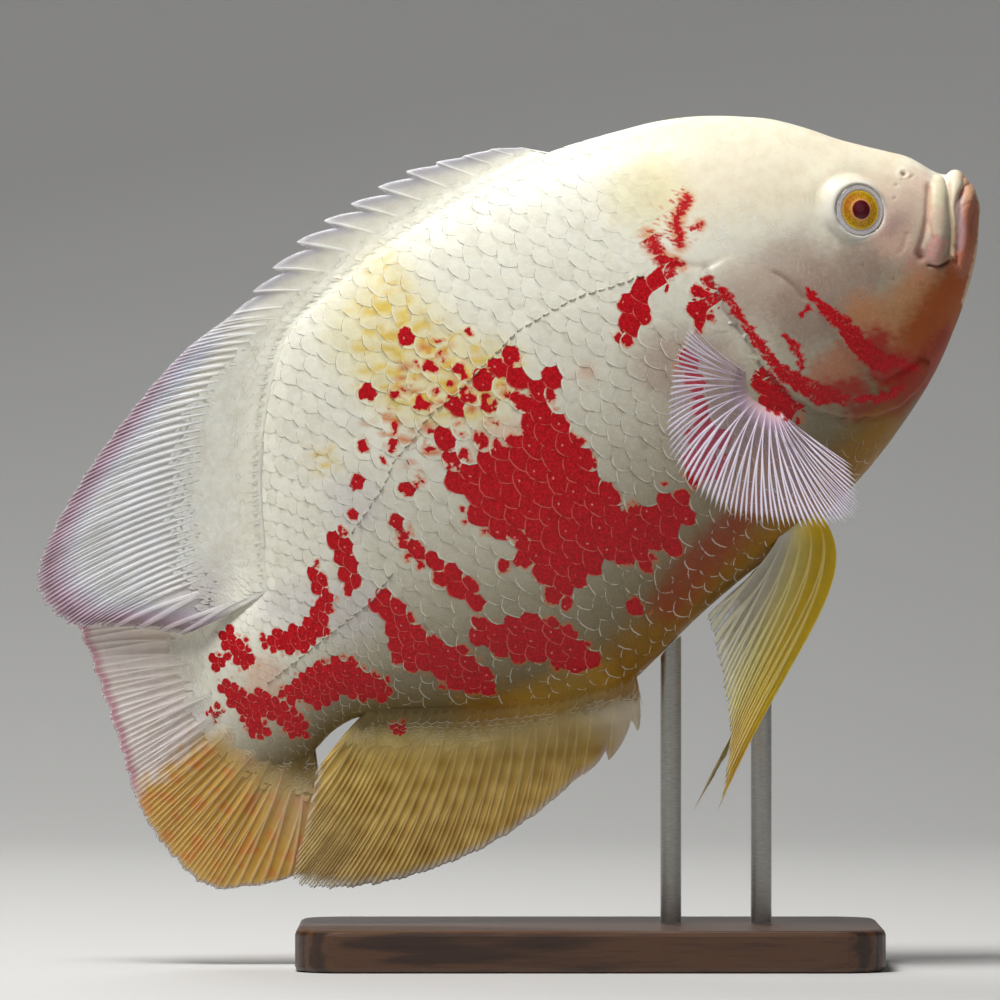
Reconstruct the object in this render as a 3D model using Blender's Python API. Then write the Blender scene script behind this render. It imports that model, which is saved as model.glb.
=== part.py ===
"""Oscar fish, a still life-size model held on a plain stand.

Shapes are drawn in millimetres in the fish's own frame: s runs back from the snout, h up toward
the back and y to the fish's left. The last step tips the fish to its pose, in metres with +Z up.
"""
import math

import bpy
import bmesh
import numpy as np
from mathutils import Matrix, Vector

PITCH = math.radians(36)  # the body climbs toward the head
GAP = 0.3  # clearance between neighbouring nodes
SNOUT_HEIGHT = 219.0  # of the frame's zero above the floor
SIDES = {"right": -1, "left": 1}

SECTION_POWER = 2.15  # 2 would make the half sections elliptic
MID_SHARE = 0.43  # height of the widest place, as a share of the section
RING = 40  # points around the body
# s, top, bottom, half width
BODY = [
    (-1.3, 9.6, 2.4, 2.2),
    (-0.4, 10.8, -0.6, 4.4),
    (1.6, 11.9, -3.5, 6.8),
    (4, 14.2, -6.6, 8.8),
    (8, 22.6, -10.7, 11.4),
    (12, 27.6, -14.2, 13.3),
    (17, 33.4, -18.3, 15.3),
    (22, 39.6, -21.9, 17.0),
    (27, 47.0, -25.1, 18.4),
    (33, 54.6, -28.8, 19.8),
    (40, 60.8, -32.5, 21.4),
    (50, 68.2, -36.6, 23.6),
    (60, 73.8, -40.0, 25.4),
    (70, 78.1, -43.0, 26.6),
    (80, 81.9, -45.1, 27.3),
    (90, 85.1, -46.2, 27.6),
    (101, 87.2, -46.8, 27.5),
    (113, 89.2, -47.2, 27.0),
    (127, 90.6, -48.1, 26.0),
    (140, 91.4, -49.6, 24.6),
    (152, 91.7, -51.6, 22.8),
    (162, 91.2, -52.6, 20.9),
    (172, 90.2, -49.6, 18.6),
    (182, 88.6, -45.0, 16.2),
    (190, 84.4, -41.0, 14.4),
    (198, 77.8, -36.3, 12.7),
    (206, 69.6, -31.4, 11.2),
    (213, 61.2, -26.6, 10.0),
    (220, 51.2, -21.2, 8.9),
    (227, 40.0, -16.6, 7.9),
    (233, 33.0, -14.2, 7.1),
    (240, 31.6, -13.8, 6.3),
    (248, 32.4, -15.4, 5.3),
    (256, 32.0, -16.4, 4.2),
    (263, 30.0, -16.6, 3.0),
]
TABLE = np.array(BODY)

# Outlines in the side view, as (s, h)
JAW = [(-9, 7.6), (0.3, 7.5), (2.2, 6.3), (4.2, 4.7), (6.0, 2.7), (8, -0.4), (10.6, -3.9),
       (13.4, -7.1), (17.6, -9.6), (23, -12.4), (30, -17.5), (34.6, -25), (36, -42), (-9, -42)]
GILL = [(57, 14), (58, 4), (57.5, -10), (56, -19), (52, -25), (45, -26.8), (40, -26),
        (38.6, -28.4), (41, -31), (46, -32.6), (53, -33.2), (60, -31.4), (67, -27.2),
        (72.6, -20.6), (76.2, -12.6), (78.3, -3), (77, 8), (77, 19), (74.6, 30.6), (66, 29.4),
        (60, 23)]
NAPE = [(60, 110), (62, 66), (66, 34), (67, 10), (66, -16), (60, -28), (55, -42), (54, -70)]
TAIL_CUT = [(237, 70), (234, 30), (233, 8), (234.5, -16), (237, -50)]
TAIL_END = [(247, 44), (249.4, 33), (253.4, 25.6), (256.6, 16), (257.4, 5), (255.8, -4), (252, -11),
            (247.8, -16), (244, -30)]
REAR = 330  # farther back than any piece

EYE_AT = (29.6, 18.9)
EYE_TURN = (math.radians(20), math.radians(-8))  # toward the snout, and down in the fish's frame
EYE_RADIUS, EYE_DEPTH = 7.9, 4.9  # across, and along the eye's axis
EYE_SUNK = 1.2  # its centre below the skin
RIM_OUT = 2.0  # the lid-free rim's face, from the eye's centre
RIM_RADIUS, RIM_DEPTH = 10.2, 4.0
NOSTRIL_AT, NOSTRIL_RADIUS = (12.8, 19.8), 0.8
GILL_PROUD = 0.8  # a gill cover's step over the skin behind it

# Half paths of the lips, as (s, h, y, radius), from the middle to the side
UPPER_LIP = [(0.9, 10.1, 0, 2.5), (1.4, 9.7, 3.4, 2.5), (3.0, 8.1, 6.4, 2.3), (5.2, 5.8, 8.4, 2.0),
             (7.4, 2.7, 10.0, 1.8), (9.4, -0.6, 11.2, 1.6), (12.0, -4.2, 12.4, 1.4),
             (15.0, -7.5, 13.6, 1.0)]
LOWER_LIP = [(0.7, 5.1, 0, 2.5), (1.2, 4.7, 3.4, 2.5), (2.6, 3.3, 6.2, 2.4), (4.8, 1.1, 8.2, 2.3),
             (6.8, -1.6, 9.8, 2.1), (9.2, -4.6, 11.0, 1.9), (12.2, -7.8, 12.2, 1.6),
             (15.2, -10.8, 13.2, 1.0)]
# The upper jaw bone under the cheek, as (s, h, radius, how far it stands proud)
MAXILLA = [(5.6, 12.2, 1.6, 0.5), (8.6, 9.2, 3.0, 1.0), (12.6, 4.1, 3.6, 1.2), (16.2, -0.7, 3.4, 1.2),
           (19.2, -4.0, 2.8, 1.0), (21.0, -6.0, 1.6, 0.5)]

ROOT = 4.0  # how far a fin's rays start inside the body
EDGE_RAY, EDGE_WEB = 0.42, 0.27  # half thickness of a ray and of the membrane at a fin's margin

# Key rays: rays up to the next key, base s, base h, tip s, tip h, bow, notch behind the tip
DORSAL = [
    (1, 91, 84.5, 97, 91, 0, 0.05),
    (1, 97, 86, 104, 95.5, 0, 0.05),
    (1, 103, 87, 111.5, 98.6, 0, 0.05),
    (1, 110, 88.3, 119, 101.8, 0, 0.08),
    (1, 118, 89.6, 127.8, 104.8, 0, 0.16),
    (1, 126, 90.3, 137, 105.9, 0.3, 0.22),
    (1, 134.5, 91, 146.3, 106.6, 0.5, 0.22),
    (1, 143, 91.4, 155.4, 107.2, 0.6, 0.22),
    (1, 152, 91.6, 165.4, 106.8, 0.7, 0.20),
    (1, 160.5, 91.2, 175.4, 104.8, 0.8, 0.18),
    (1, 168.5, 90.5, 184, 102.6, 0.9, 0.12),
    (2, 175, 89.8, 192.4, 100.9, 1.0, 0.02),
    (3, 186, 87, 210, 100.5, 1.5, 0.012),
    (3, 197, 78.8, 232, 95.8, 2.5, 0.02),
    (3, 206, 69.6, 255, 88.4, 3.5, 0.02),
    (3, 213.5, 60.6, 275, 79.2, 4, 0.02),
    (3, 219.5, 52, 285.6, 69.5, 4, 0.02),
    (2, 225.5, 42.5, 284.2, 56.4, 4, 0.03),
    (1, 229.5, 36.2, 275, 49.4, 2.4, 0.03),
    (0, 232.5, 30.4, 258, 34.2, -0.6, 0.03),
]
ANAL = [
    (1, 159.5, -52.2, 163, -60, 0, 0.3),
    (1, 162.5, -52, 168.5, -65.2, 0, 0.3),
    (1, 167, -51, 180.4, -67, -0.5, 0.2),
    (2, 173, -48.6, 189, -66.1, -0.6, 0.03),
    (2, 183, -44.4, 206, -67.5, -1, 0.02),
    (3, 194, -38.6, 226, -66.4, -1.5, 0.02),
    (3, 206, -31.2, 249, -60, -2, 0.02),
    (3, 216, -24.2, 268, -49.6, -2.5, 0.02),
    (2, 223.5, -18.8, 274.2, -41, -3, 0.03),
    (1, 227.5, -15.8, 262, -30.8, -1.4, 0.03),
    (0, 230, -14.8, 250, -19.6, 0.3, 0.03),
]
CAUDAL = [
    (2, 249.8, 32.2, 281.5, 55.5, 3.4, 0.01),
    (3, 254.6, 22.8, 285.4, 41, 1, 0.02),
    (3, 257.2, 14.4, 292.2, 19.6, 0, 0.02),
    (3, 257.7, 5, 298, 2.5, 0, 0.02),
    (3, 256.2, -4, 298.9, -15, -0.5, 0.02),
    (2, 253, -10.6, 293.4, -31.2, -1, 0.02),
    (0, 248, -15.6, 269, -43.4, -2, 0.02),
]
# Paired fins: rays up to the next key, then four points along the ray, each as (s, h, y)
PECTORAL = [
    (3, (83, -1, 23), (85, 5, 29.5), (87, 13, 32.5), (87.5, 21.5, 34)),
    (3, (84, -3, 23), (89, 2.2, 30), (95, 7.8, 33.6), (101, 13, 36)),
    (3, (85, -6, 23), (93, -3.2, 30.5), (103.5, -3, 34.6), (115.5, -5.5, 38)),
    (3, (85, -9, 23), (92.5, -12, 31), (102.5, -18.2, 35.2), (114, -27, 39.5)),
    (3, (84, -12, 23), (89, -19, 31.5), (95.2, -29, 36), (101.5, -42, 41)),
    (2, (83, -14, 23), (84.8, -23, 31.5), (86.2, -36, 37), (86.4, -52, 42.5)),
    (2, (82.4, -14.6, 23), (82.6, -22.4, 31), (82, -34.4, 36.8), (79.6, -51, 42.6)),
    (0, (82, -15, 23), (80.5, -20.8, 30), (78, -28.6, 35), (74.2, -39.5, 39.5)),
]
PELVIC = [
    (1, (90, -41.5, 7.5), (96.6, -61.8, 9.6), (123.6, -76.4, 13), (165.6, -98, 17)),
    (1, (91.5, -41.5, 7.6), (100, -59.4, 9.7), (126, -73.6, 13.2), (157, -90.4, 16.6)),
    (1, (93, -41.5, 7.7), (104, -57.6, 9.8), (126.6, -70.2, 13), (152, -85.4, 16)),
    (1, (94.5, -41.5, 7.8), (107.6, -55.6, 9.9), (126.6, -66.2, 12.6), (147, -79, 15.2)),
    (1, (96, -41.5, 7.9), (110.6, -53.4, 9.9), (126.2, -61.6, 12), (142.6, -70.6, 14.2)),
    (1, (97.5, -41.5, 8), (112.8, -50.6, 9.8), (126, -56.4, 11.4), (138.4, -62.4, 13)),
    (0, (99, -41.5, 8), (112.4, -46.8, 9.6), (123, -48.2, 10.6), (133.6, -49.8, 11.6)),
]
LEFT_PELVIC_TURN = (math.radians(3.6), math.radians(-9))  # its first ray trails, the last is folded
LEFT_PELVIC_LENGTH = 1.04

BASE_SIZE = (168, 98, 12)
BASE_CENTRE = -112  # from the snout, along the floor
BASE_CORNER, BASE_EDGE = 14, 1.5
ROD_RADIUS, ROD_SIDES = 3.0, 24
RODS = {"front": -62.5, "rear": -88.5}  # from the snout, along the floor


def section(s):
    """Top, middle and bottom heights and half width of the body at s."""
    top, bottom, half = (np.interp(s, TABLE[:, 0], TABLE[:, i]) for i in (1, 2, 3))
    return top, bottom + MID_SHARE * (top - bottom), bottom, half


def side_of(s, h):
    """Half width of the body at the height h."""
    top, mid, bottom, half = section(s)
    t = min(1.0, abs((h - mid) / (top - mid if h > mid else mid - bottom)))
    return half * (1 - t ** SECTION_POWER) ** (1 / SECTION_POWER)


def mesh_object(verts, faces):
    """Links a closed mesh of points given as (s, h, y) and turns its faces outward."""
    mesh = bpy.data.meshes.new("piece")
    mesh.from_pydata([(-s, y, h) for s, h, y in verts], [], faces)
    ob = bpy.data.objects.new("piece", mesh)
    bpy.context.collection.objects.link(ob)
    edit(ob, lambda bm: bmesh.ops.recalc_face_normals(bm, faces=bm.faces))
    return ob


def edit(ob, change):
    bm = bmesh.new()
    bm.from_mesh(ob.data)
    change(bm)
    bm.to_mesh(ob.data)
    bm.free()


def strips(rows, count, closed):
    """Faces between rows of count points each, closed around when asked."""
    faces = []
    for i in range(rows - 1):
        for j in range(count if closed else count - 1):
            a, b = i * count + j, i * count + (j + 1) % count
            faces.append((a, b, b + count, a + count))
    return faces


def body(grow=0.0, proud=0.0):
    """The body from lips to tail end, grown all round or only sideways."""
    verts = []
    for s, *_ in BODY:
        top, mid, bottom, half = section(s)
        for k in range(RING):
            angle = 2 * math.pi * k / RING
            c, d = math.cos(angle), math.sin(angle)
            up = math.copysign(abs(c) ** (2 / SECTION_POWER), c)
            out = math.copysign(abs(d) ** (2 / SECTION_POWER), d)
            reach = top + grow - mid if c > 0 else mid - bottom + grow
            verts.append((s, mid + reach * up, (half + grow + proud) * out))
    faces = strips(len(BODY), RING, True)
    last = (len(BODY) - 1) * RING
    faces += [tuple(range(RING)), tuple(range(last + RING - 1, last - 1, -1))]
    return mesh_object(verts, faces)


def prism(outline, near, far):
    """A side-view outline carried sideways, from near to far; near may lean with height."""
    lean = near if callable(near) else (lambda h: near)
    verts = [(s, h, lean(h)) for s, h in outline] + [(s, h, far) for s, h in outline]
    n = len(outline)
    faces = [(k, (k + 1) % n, (k + 1) % n + n, k + n) for k in range(n)]
    return mesh_object(verts, faces + [tuple(range(n)), tuple(range(2 * n - 1, n - 1, -1))])


def widened(outline, by):
    """The outline moved outward everywhere."""
    p = np.array(outline, float)
    ahead = np.roll(p, -1, 0) - p
    area = np.sum(p[:, 0] * np.roll(p, -1, 0)[:, 1] - p[:, 1] * np.roll(p, -1, 0)[:, 0])
    out = np.stack([ahead[:, 1], -ahead[:, 0]], 1) * math.copysign(1, area)
    out /= np.linalg.norm(out, axis=1)[:, None]
    both = out + np.roll(out, 1, 0)
    scale = by / np.maximum(0.3, np.sum(both * out, 1))
    return [tuple(q) for q in p + both * scale[:, None]]


def behind(line, by=0.0):
    """The outline of everything behind a line that runs from the back down."""
    moved = [(s + by, h) for s, h in line]
    return moved + [(REAR, moved[-1][1]), (REAR, moved[0][1])]


def ellipsoid(centre, axis, across, along, segments=28, rings=14):
    """An ellipsoid in the fish's frame, its short axis given as a direction."""
    mesh = bpy.data.meshes.new("piece")
    ob = bpy.data.objects.new("piece", mesh)
    bpy.context.collection.objects.link(ob)
    turn = Vector((0, 0, 1)).rotation_difference(axis).to_matrix().to_4x4()
    place = Matrix.Translation(centre) @ turn @ Matrix.Diagonal((across, across, along, 1))
    edit(ob, lambda bm: bmesh.ops.create_uvsphere(
        bm, u_segments=segments, v_segments=rings, radius=1, matrix=place))
    return ob


def tube(path, sides=12):
    """A round bar along (s, h, y, radius) points, drawn in to a dome at both ends."""
    points = [Vector(p[:3]) for p in path]
    rings = []
    for i, p in enumerate(points):
        ahead = (points[min(i + 1, len(points) - 1)] - points[max(i - 1, 0)]).normalized()
        across = ahead.cross(Vector((0, 1, 0.35))).normalized()
        up = across.cross(ahead)
        steps = [(0, 1.0)]
        if i == 0:
            steps = [(-0.8, 0.5), (-0.4, 0.86), (0, 1.0)]
        if i == len(points) - 1:
            steps = [(0, 1.0), (0.4, 0.86), (0.8, 0.5)]
        for shift, size in steps:
            centre = p + ahead * shift * path[i][3]
            angles = [2 * math.pi * k / sides for k in range(sides)]
            radius = path[i][3] * size
            rings += [centre + (across * math.cos(a) + up * math.sin(a)) * radius for a in angles]
    rows = len(rings) // sides
    last = (rows - 1) * sides
    faces = strips(rows, sides, True)
    faces += [tuple(range(sides)), tuple(range(last + sides - 1, last - 1, -1))]
    return mesh_object([tuple(v) for v in rings], faces)


def both_halves(path):
    return [(s, h, -y, r) for s, h, y, r in reversed(path)] + path[1:]


def combine(target, others, operation):
    """One Boolean of the target with a collection of pieces, which are then removed."""
    group = bpy.data.collections.new("cutters")
    bpy.context.scene.collection.children.link(group)
    for ob in others:
        group.objects.link(ob)
    change = target.modifiers.new("combine", "BOOLEAN")
    change.operation = operation
    change.operand_type = "COLLECTION"
    change.collection = group
    change.solver = "EXACT"
    apply_modifiers(target)
    for ob in others:
        bpy.data.objects.remove(ob)
    bpy.data.collections.remove(group)
    return target


def apply_modifiers(ob):
    graph = bpy.context.evaluated_depsgraph_get()
    mesh = bpy.data.meshes.new_from_object(ob.evaluated_get(graph))
    ob.modifiers.clear()
    ob.data = mesh


def common(target, outline, near, far):
    """Keeps what of the target lies inside an outline's prism."""
    cutter = prism(outline, near, far)
    change = target.modifiers.new("keep", "BOOLEAN")
    change.operation = "INTERSECT"
    change.object = cutter
    change.solver = "EXACT"
    apply_modifiers(target)
    bpy.data.objects.remove(cutter)
    return target


def copy_of(ob):
    twin = bpy.data.objects.new("piece", ob.data.copy())
    bpy.context.collection.objects.link(twin)
    return twin


def largest_only(ob):
    """Removes every loose surface but the largest one."""
    def change(bm):
        left = set(bm.verts)
        groups = []
        while left:
            group, front = set(), [left.pop()]
            while front:
                v = front.pop()
                group.add(v)
                for e in v.link_edges:
                    w = e.other_vert(v)
                    if w in left:
                        left.discard(w)
                        front.append(w)
            groups.append(group)
        groups.sort(key=len)
        for group in groups[:-1]:
            bmesh.ops.delete(bm, geom=list(group), context="VERTS")
        bmesh.ops.dissolve_degenerate(bm, dist=1e-3, edges=bm.edges)
        bmesh.ops.triangulate(bm, faces=bm.faces)
    edit(ob, change)


def eye_frame(sign):
    """The eye's centre and axis on one side."""
    turn, lift = EYE_TURN
    axis = Vector((math.sin(turn), sign * math.cos(turn) * math.cos(lift), math.sin(lift)))
    s, h = EYE_AT
    skin = Vector((-s, sign * side_of(s, h), h))
    return skin - axis.normalized() * EYE_SUNK, axis.normalized()


def eye_rim(sign):
    """The low ring of skin around an eye, flat where the eye comes through."""
    centre, axis = eye_frame(sign)
    rim = ellipsoid(centre, axis, RIM_RADIUS, RIM_DEPTH)
    def change(bm):
        faces = bm.verts[:] + bm.edges[:] + bm.faces[:]
        plane = centre + axis * RIM_OUT
        cut = bmesh.ops.bisect_plane(bm, geom=faces, plane_co=plane, plane_no=axis, clear_outer=True)
        rim_edges = [e for e in cut["geom_cut"] if isinstance(e, bmesh.types.BMEdge)]
        bmesh.ops.contextual_create(bm, geom=rim_edges)
    edit(rim, change)
    return rim


def smooth_step(x, low, high):
    t = min(1.0, max(0.0, (x - low) / (high - low)))
    return t * t * (3 - 2 * t)


def along(points, t):
    """The smooth curve through four points, reached at 0, a third, two thirds and 1."""
    u = 3 * t
    shares = (-(u - 1) * (u - 2) * (u - 3) / 6, u * (u - 2) * (u - 3) / 2,
              -u * (u - 1) * (u - 3) / 2, u * (u - 1) * (u - 2) / 6)
    return sum(share * p for share, p in zip(shares, points))


def spread(keys):
    """Rays between key rays, and halfway ones for the membrane, on a smooth curve."""
    rays = []
    for i, key in enumerate(keys):
        before, after = keys[max(i - 1, 0)], keys[min(i + 1, len(keys) - 1)]
        last = keys[min(i + 2, len(keys) - 1)]
        halves = 2 * key[0]
        for k in range(halves or 1):
            t = k / halves if halves else 0.0
            a, b, c, d = (np.array(q[1:], float) for q in (before, key, after, last))
            curve = b + 0.5 * t * (c - a + t * (2 * a - 5 * b + 4 * c - d + t * (3 * (b - c) + d - a)))
            rays.append(curve)
    return rays


def from_side_view(keys, root=ROOT):
    """Key rays of a fin in the middle plane as four points and a notch, in one row each."""
    out = []
    for count, bs, bh, ts, th, bow, notch in keys:
        base, tip = np.array((bs, bh, 0.0)), np.array((ts, th, 0.0))
        ahead = (tip - base) / np.linalg.norm(tip - base)
        base = base - ahead * root
        side = bow * 8 / 9 * np.array((-ahead[1], ahead[0], 0))
        out.append((count, *base, *(2 * base + tip) / 3 + side, *(base + 2 * tip) / 3 + side, *tip, notch))
    return out


def fin(keys, rows, thickness, shift=None):
    """A finned sheet with a ridge at each ray, split alike on both faces.

    thickness(share, base) gives the half thickness of a ray; shift(u, share) moves it sideways.
    """
    columns = spread(keys)
    n = len(columns)
    near, far = [], []
    for j, numbers in enumerate(columns):
        points, notch = numbers[:12].reshape(4, 3), numbers[12]
        ray = j % 2 == 0
        for i in range(rows + 1):
            t = i / rows * (1.0 if ray else 1 - notch)
            p = along(points, t)
            half = thickness(t, points[0])
            if not ray:
                half -= (half - half * EDGE_WEB / EDGE_RAY) * smooth_step(t, 0.1, 0.45)
            side = shift(j / (n - 1), t) if shift else 0.0
            near.append((p[0], p[1], p[2] + side - half))
            far.append((p[0], p[1], p[2] + side + half))
    total = len(near)
    faces = []
    step = rows + 1
    for a, b, c, d in strips(n, step, False):
        faces += [(a, b, c), (a, c, d), (a + total, c + total, b + total),
                  (a + total, d + total, c + total)]
    rim = [j * step for j in range(n)] + list(range((n - 1) * step + 1, n * step))
    rim += [j * step + rows for j in range(n - 2, -1, -1)] + list(range(rows - 1, 0, -1))
    for a, b in zip(rim, rim[1:] + rim[:1]):
        faces += [(a, b, b + total), (a, b + total, a + total)]
    return mesh_object(near + far, faces)


def tapering(root, sheath, end=EDGE_RAY):
    """Half thickness that falls over the scaled base and then thins to the margin."""
    def half(t, base):
        return end + (sheath - end) * (1 - t) ** 1.3 + (root - sheath) * (1 - smooth_step(t, 0, 0.35))
    return half


def tail_thickness(t, base):
    """Starts as wide as the body it grows from."""
    start = max(1.2, side_of(base[0], base[1]) - 0.1)
    return EDGE_RAY + (1.5 - EDGE_RAY) * (1 - t) + (start - 1.5) * (1 - smooth_step(t, 0, 0.4))


def lobe_toward_viewer(reach):
    """Bends a fin's rear lobe to the right, so that it passes beside the tail fin."""
    return lambda u, t: -reach * smooth_step(u, 0.35, 0.95) * smooth_step(t, 0.1, 0.75)


def paired(keys, sign, turns=(0.0, 0.0), length=1.0):
    """Key rays of one side, turned around the first ray's base by the first angle to the last."""
    out = []
    s0, h0, _ = keys[0][1]
    for i, (count, *points) in enumerate(keys):
        turn = turns[0] + (turns[1] - turns[0]) * i / (len(keys) - 1)
        c, d = length * math.cos(turn), length * math.sin(turn)
        turned = [((s - s0) * c - (h - h0) * d + s0, (s - s0) * d + (h - h0) * c + h0, sign * y)
                  for s, h, y in points]
        out.append((count, *np.ravel(turned), 0.02))
    return out


def rounded_slab(size, corner, edge):
    """A flat slab with rounded corners and softened edges, its underside on the floor."""
    mesh = bpy.data.meshes.new("slab")
    ob = bpy.data.objects.new("slab", mesh)
    bpy.context.collection.objects.link(ob)
    def change(bm):
        bmesh.ops.create_cube(bm, size=1)
        bmesh.ops.scale(bm, vec=size, verts=bm.verts)
        bmesh.ops.translate(bm, vec=(0, 0, size[2] / 2), verts=bm.verts)
        upright = [e for e in bm.edges if abs(e.verts[0].co.z - e.verts[1].co.z) > 1]
        bmesh.ops.bevel(bm, geom=upright, offset=corner, affect="EDGES", segments=8, profile=0.5,
                        material=-1)
        level = [e for e in bm.edges if abs(e.verts[0].co.z - e.verts[1].co.z) < 0.01]
        rim = [e for e in level if len({round(f.normal.z) for f in e.link_faces}) > 1]
        bmesh.ops.bevel(bm, geom=rim, offset=edge, affect="EDGES", segments=2, profile=0.5,
                        material=-1)
    edit(ob, change)
    return ob


def linear(code):
    """Scene colour of a six-digit screen colour."""
    parts = [int(code[i:i + 2], 16) / 255 for i in (0, 2, 4)]
    return [c / 12.92 if c < 0.04045 else ((c + 0.055) / 1.055) ** 2.4 for c in parts] + [1.0]


def finish(ob, name, colour, roughness, metallic=0.0, crease=38):
    """Names the node, gives it its own material and shades it smooth up to its sharp edges."""
    largest_only(ob)
    ob.name = ob.data.name = name
    material = bpy.data.materials.new(name)
    material.use_nodes = True
    shader = material.node_tree.nodes["Principled BSDF"]
    shader.inputs["Base Color"].default_value = linear(colour)
    shader.inputs["Roughness"].default_value = roughness
    shader.inputs["Metallic"].default_value = metallic
    ob.data.materials.clear()
    ob.data.materials.append(material)
    ob.data.polygons.foreach_set("use_smooth", [True] * len(ob.data.polygons))
    ob.data.set_sharp_from_angle(angle=math.radians(crease))
    return ob


def flesh():
    """The whole body with lips, jaw bones and eye rims, and its sockets and nostrils cut."""
    lips = [tube(both_halves(UPPER_LIP)), tube(both_halves(LOWER_LIP))]
    for sign in SIDES.values():
        bone = [(s, h, sign * (side_of(s, h) + proud - r), r) for s, h, r, proud in MAXILLA]
        lips.append(tube(bone))
    rims = [eye_rim(sign) for sign in SIDES.values()]
    whole = combine(body(), lips + rims, "UNION")
    cutters = []
    for sign in SIDES.values():
        centre, axis = eye_frame(sign)
        cutters.append(ellipsoid(centre, axis, EYE_RADIUS + GAP, EYE_DEPTH + GAP))
        s, h = NOSTRIL_AT
        at = Vector((-s, sign * side_of(s, h), h))
        inward = Vector((0.35, sign, 0.3)).normalized()
        cutters.append(ellipsoid(at, inward, NOSTRIL_RADIUS, 2 * NOSTRIL_RADIUS, 10, 6))
    return combine(whole, cutters, "DIFFERENCE")


def gill_inner(sign, by=0.0):
    """The flat inner face of a gill cover, nearer the middle toward the throat."""
    return lambda h: sign * (12 - by + 0.17 * h)


def build_body():
    whole = flesh()
    nodes = {}
    far = 45
    gill_cuts = []
    for side, sign in SIDES.items():
        plate = common(body(proud=GILL_PROUD), GILL, gill_inner(sign), sign * far)
        nodes["gill_cover_" + side] = finish(plate, "gill_cover_" + side, "e3cdb4", 0.4)
        gill_cuts.append((widened(GILL, GAP), gill_inner(sign, GAP), sign * far))
    jaw = common(copy_of(whole), JAW, -far, far)
    finish(jaw, "lower_jaw", "e0a889", 0.38)
    head = combine(copy_of(whole), [prism(widened(JAW, GAP), -far, far), prism(behind(NAPE), -far, far)]
                   + [prism(*cut) for cut in gill_cuts], "DIFFERENCE")
    finish(head, "head", "efe6d6", 0.38)
    trunk = common(copy_of(whole), behind(NAPE, GAP), -far, far)
    combine(trunk, [prism(behind(TAIL_CUT), -far, far)] + [prism(*cut) for cut in gill_cuts],
            "DIFFERENCE")
    finish(trunk, "trunk", "ece4d0", 0.4)
    root = common(copy_of(whole), behind(TAIL_CUT, GAP), -far, far)
    combine(root, [prism(behind(TAIL_END), -far, far)], "DIFFERENCE")
    finish(root, "tail_root", "e6dcc8", 0.4)
    bpy.data.objects.remove(whole)


def build_eyes():
    for side, sign in SIDES.items():
        centre, axis = eye_frame(sign)
        eye = ellipsoid(centre, axis, EYE_RADIUS, EYE_DEPTH, 24, 12)
        finish(eye, "eye_" + side, "c98f1c", 0.1)


def build_fins():
    """Each fin runs into the body and is then cut back to a gap from its skin."""
    sheets = {
        "dorsal_fin": (fin(from_side_view(DORSAL), 6, tapering(3.0, 1.3), lobe_toward_viewer(3.4)),
                       "ddd6d2"),
        "anal_fin": (fin(from_side_view(ANAL), 6, tapering(2.8, 1.2), lobe_toward_viewer(3.4)),
                     "c9a94f"),
    }
    for side, sign in SIDES.items():
        pectoral = fin(paired(PECTORAL, sign), 6, tapering(2.2, 0.8))
        pose = (LEFT_PELVIC_TURN, LEFT_PELVIC_LENGTH) if side == "left" else ()
        pelvic = fin(paired(PELVIC, sign, *pose), 8, tapering(2.2, 1.0))
        sheets["pectoral_fin_" + side] = (pectoral, "d8cfe0")
        sheets["pelvic_fin_" + side] = (pelvic, "e0bf3a")
    for name, (sheet, colour) in sheets.items():
        finish(combine(sheet, [body(grow=GAP)], "DIFFERENCE"), name, colour, 0.35)
    tail = fin(from_side_view(CAUDAL, root=-GAP), 6, tail_thickness)
    finish(tail, "caudal_fin", "d8b25e", 0.35)


def tilt():
    """From the fish's frame to the pose, still in millimetres."""
    return Matrix.Translation((0, 0, SNOUT_HEIGHT)) @ Matrix.Rotation(-PITCH, 4, "Y")


def build_stand():
    """A flat base under the fish and two rods up to its belly, drawn as they stand."""
    level = tilt().inverted()
    slab = rounded_slab(BASE_SIZE, BASE_CORNER, BASE_EDGE)
    slab.data.transform(level @ Matrix.Translation((BASE_CENTRE, 0, 0)))
    finish(slab, "stand_base", "4a3626", 0.45)
    foot, top = BASE_SIZE[2] + GAP, SNOUT_HEIGHT - 60
    for place, x in RODS.items():
        rod = bpy.data.objects.new("rod", bpy.data.meshes.new("rod"))
        bpy.context.collection.objects.link(rod)
        at = level @ Matrix.Translation((x, 0, (foot + top) / 2))
        edit(rod, lambda bm: bmesh.ops.create_cone(
            bm, cap_ends=True, segments=ROD_SIDES, radius1=ROD_RADIUS, radius2=ROD_RADIUS,
            depth=top - foot, matrix=at))
        finish(combine(rod, [body(grow=GAP)], "DIFFERENCE"), "stand_rod_" + place, "b9b4a8", 0.3, 1.0)


def pose_all():
    """Tips everything to the pose, in metres, with the box around it standing on the origin."""
    pose = Matrix.Scale(0.001, 4) @ tilt()
    for ob in bpy.data.objects:
        ob.data.transform(pose)
    corners = [v.co for ob in bpy.data.objects for v in ob.data.vertices]
    low = [min(c[i] for c in corners) for i in range(3)]
    high = [max(c[i] for c in corners) for i in range(3)]
    shift = Vector((-(low[0] + high[0]) / 2, -(low[1] + high[1]) / 2, -low[2]))
    for ob in bpy.data.objects:
        ob.data.transform(Matrix.Translation(shift))


def main():
    for ob in list(bpy.data.objects):
        bpy.data.objects.remove(ob, do_unlink=True)
    build_body()
    build_eyes()
    build_fins()
    build_stand()
    pose_all()
    for mesh in list(bpy.data.meshes):
        if not mesh.users:
            bpy.data.meshes.remove(mesh)


main()
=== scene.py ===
import math
import bpy
import bmesh
import numpy as np
from mathutils import Matrix, Vector


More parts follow.
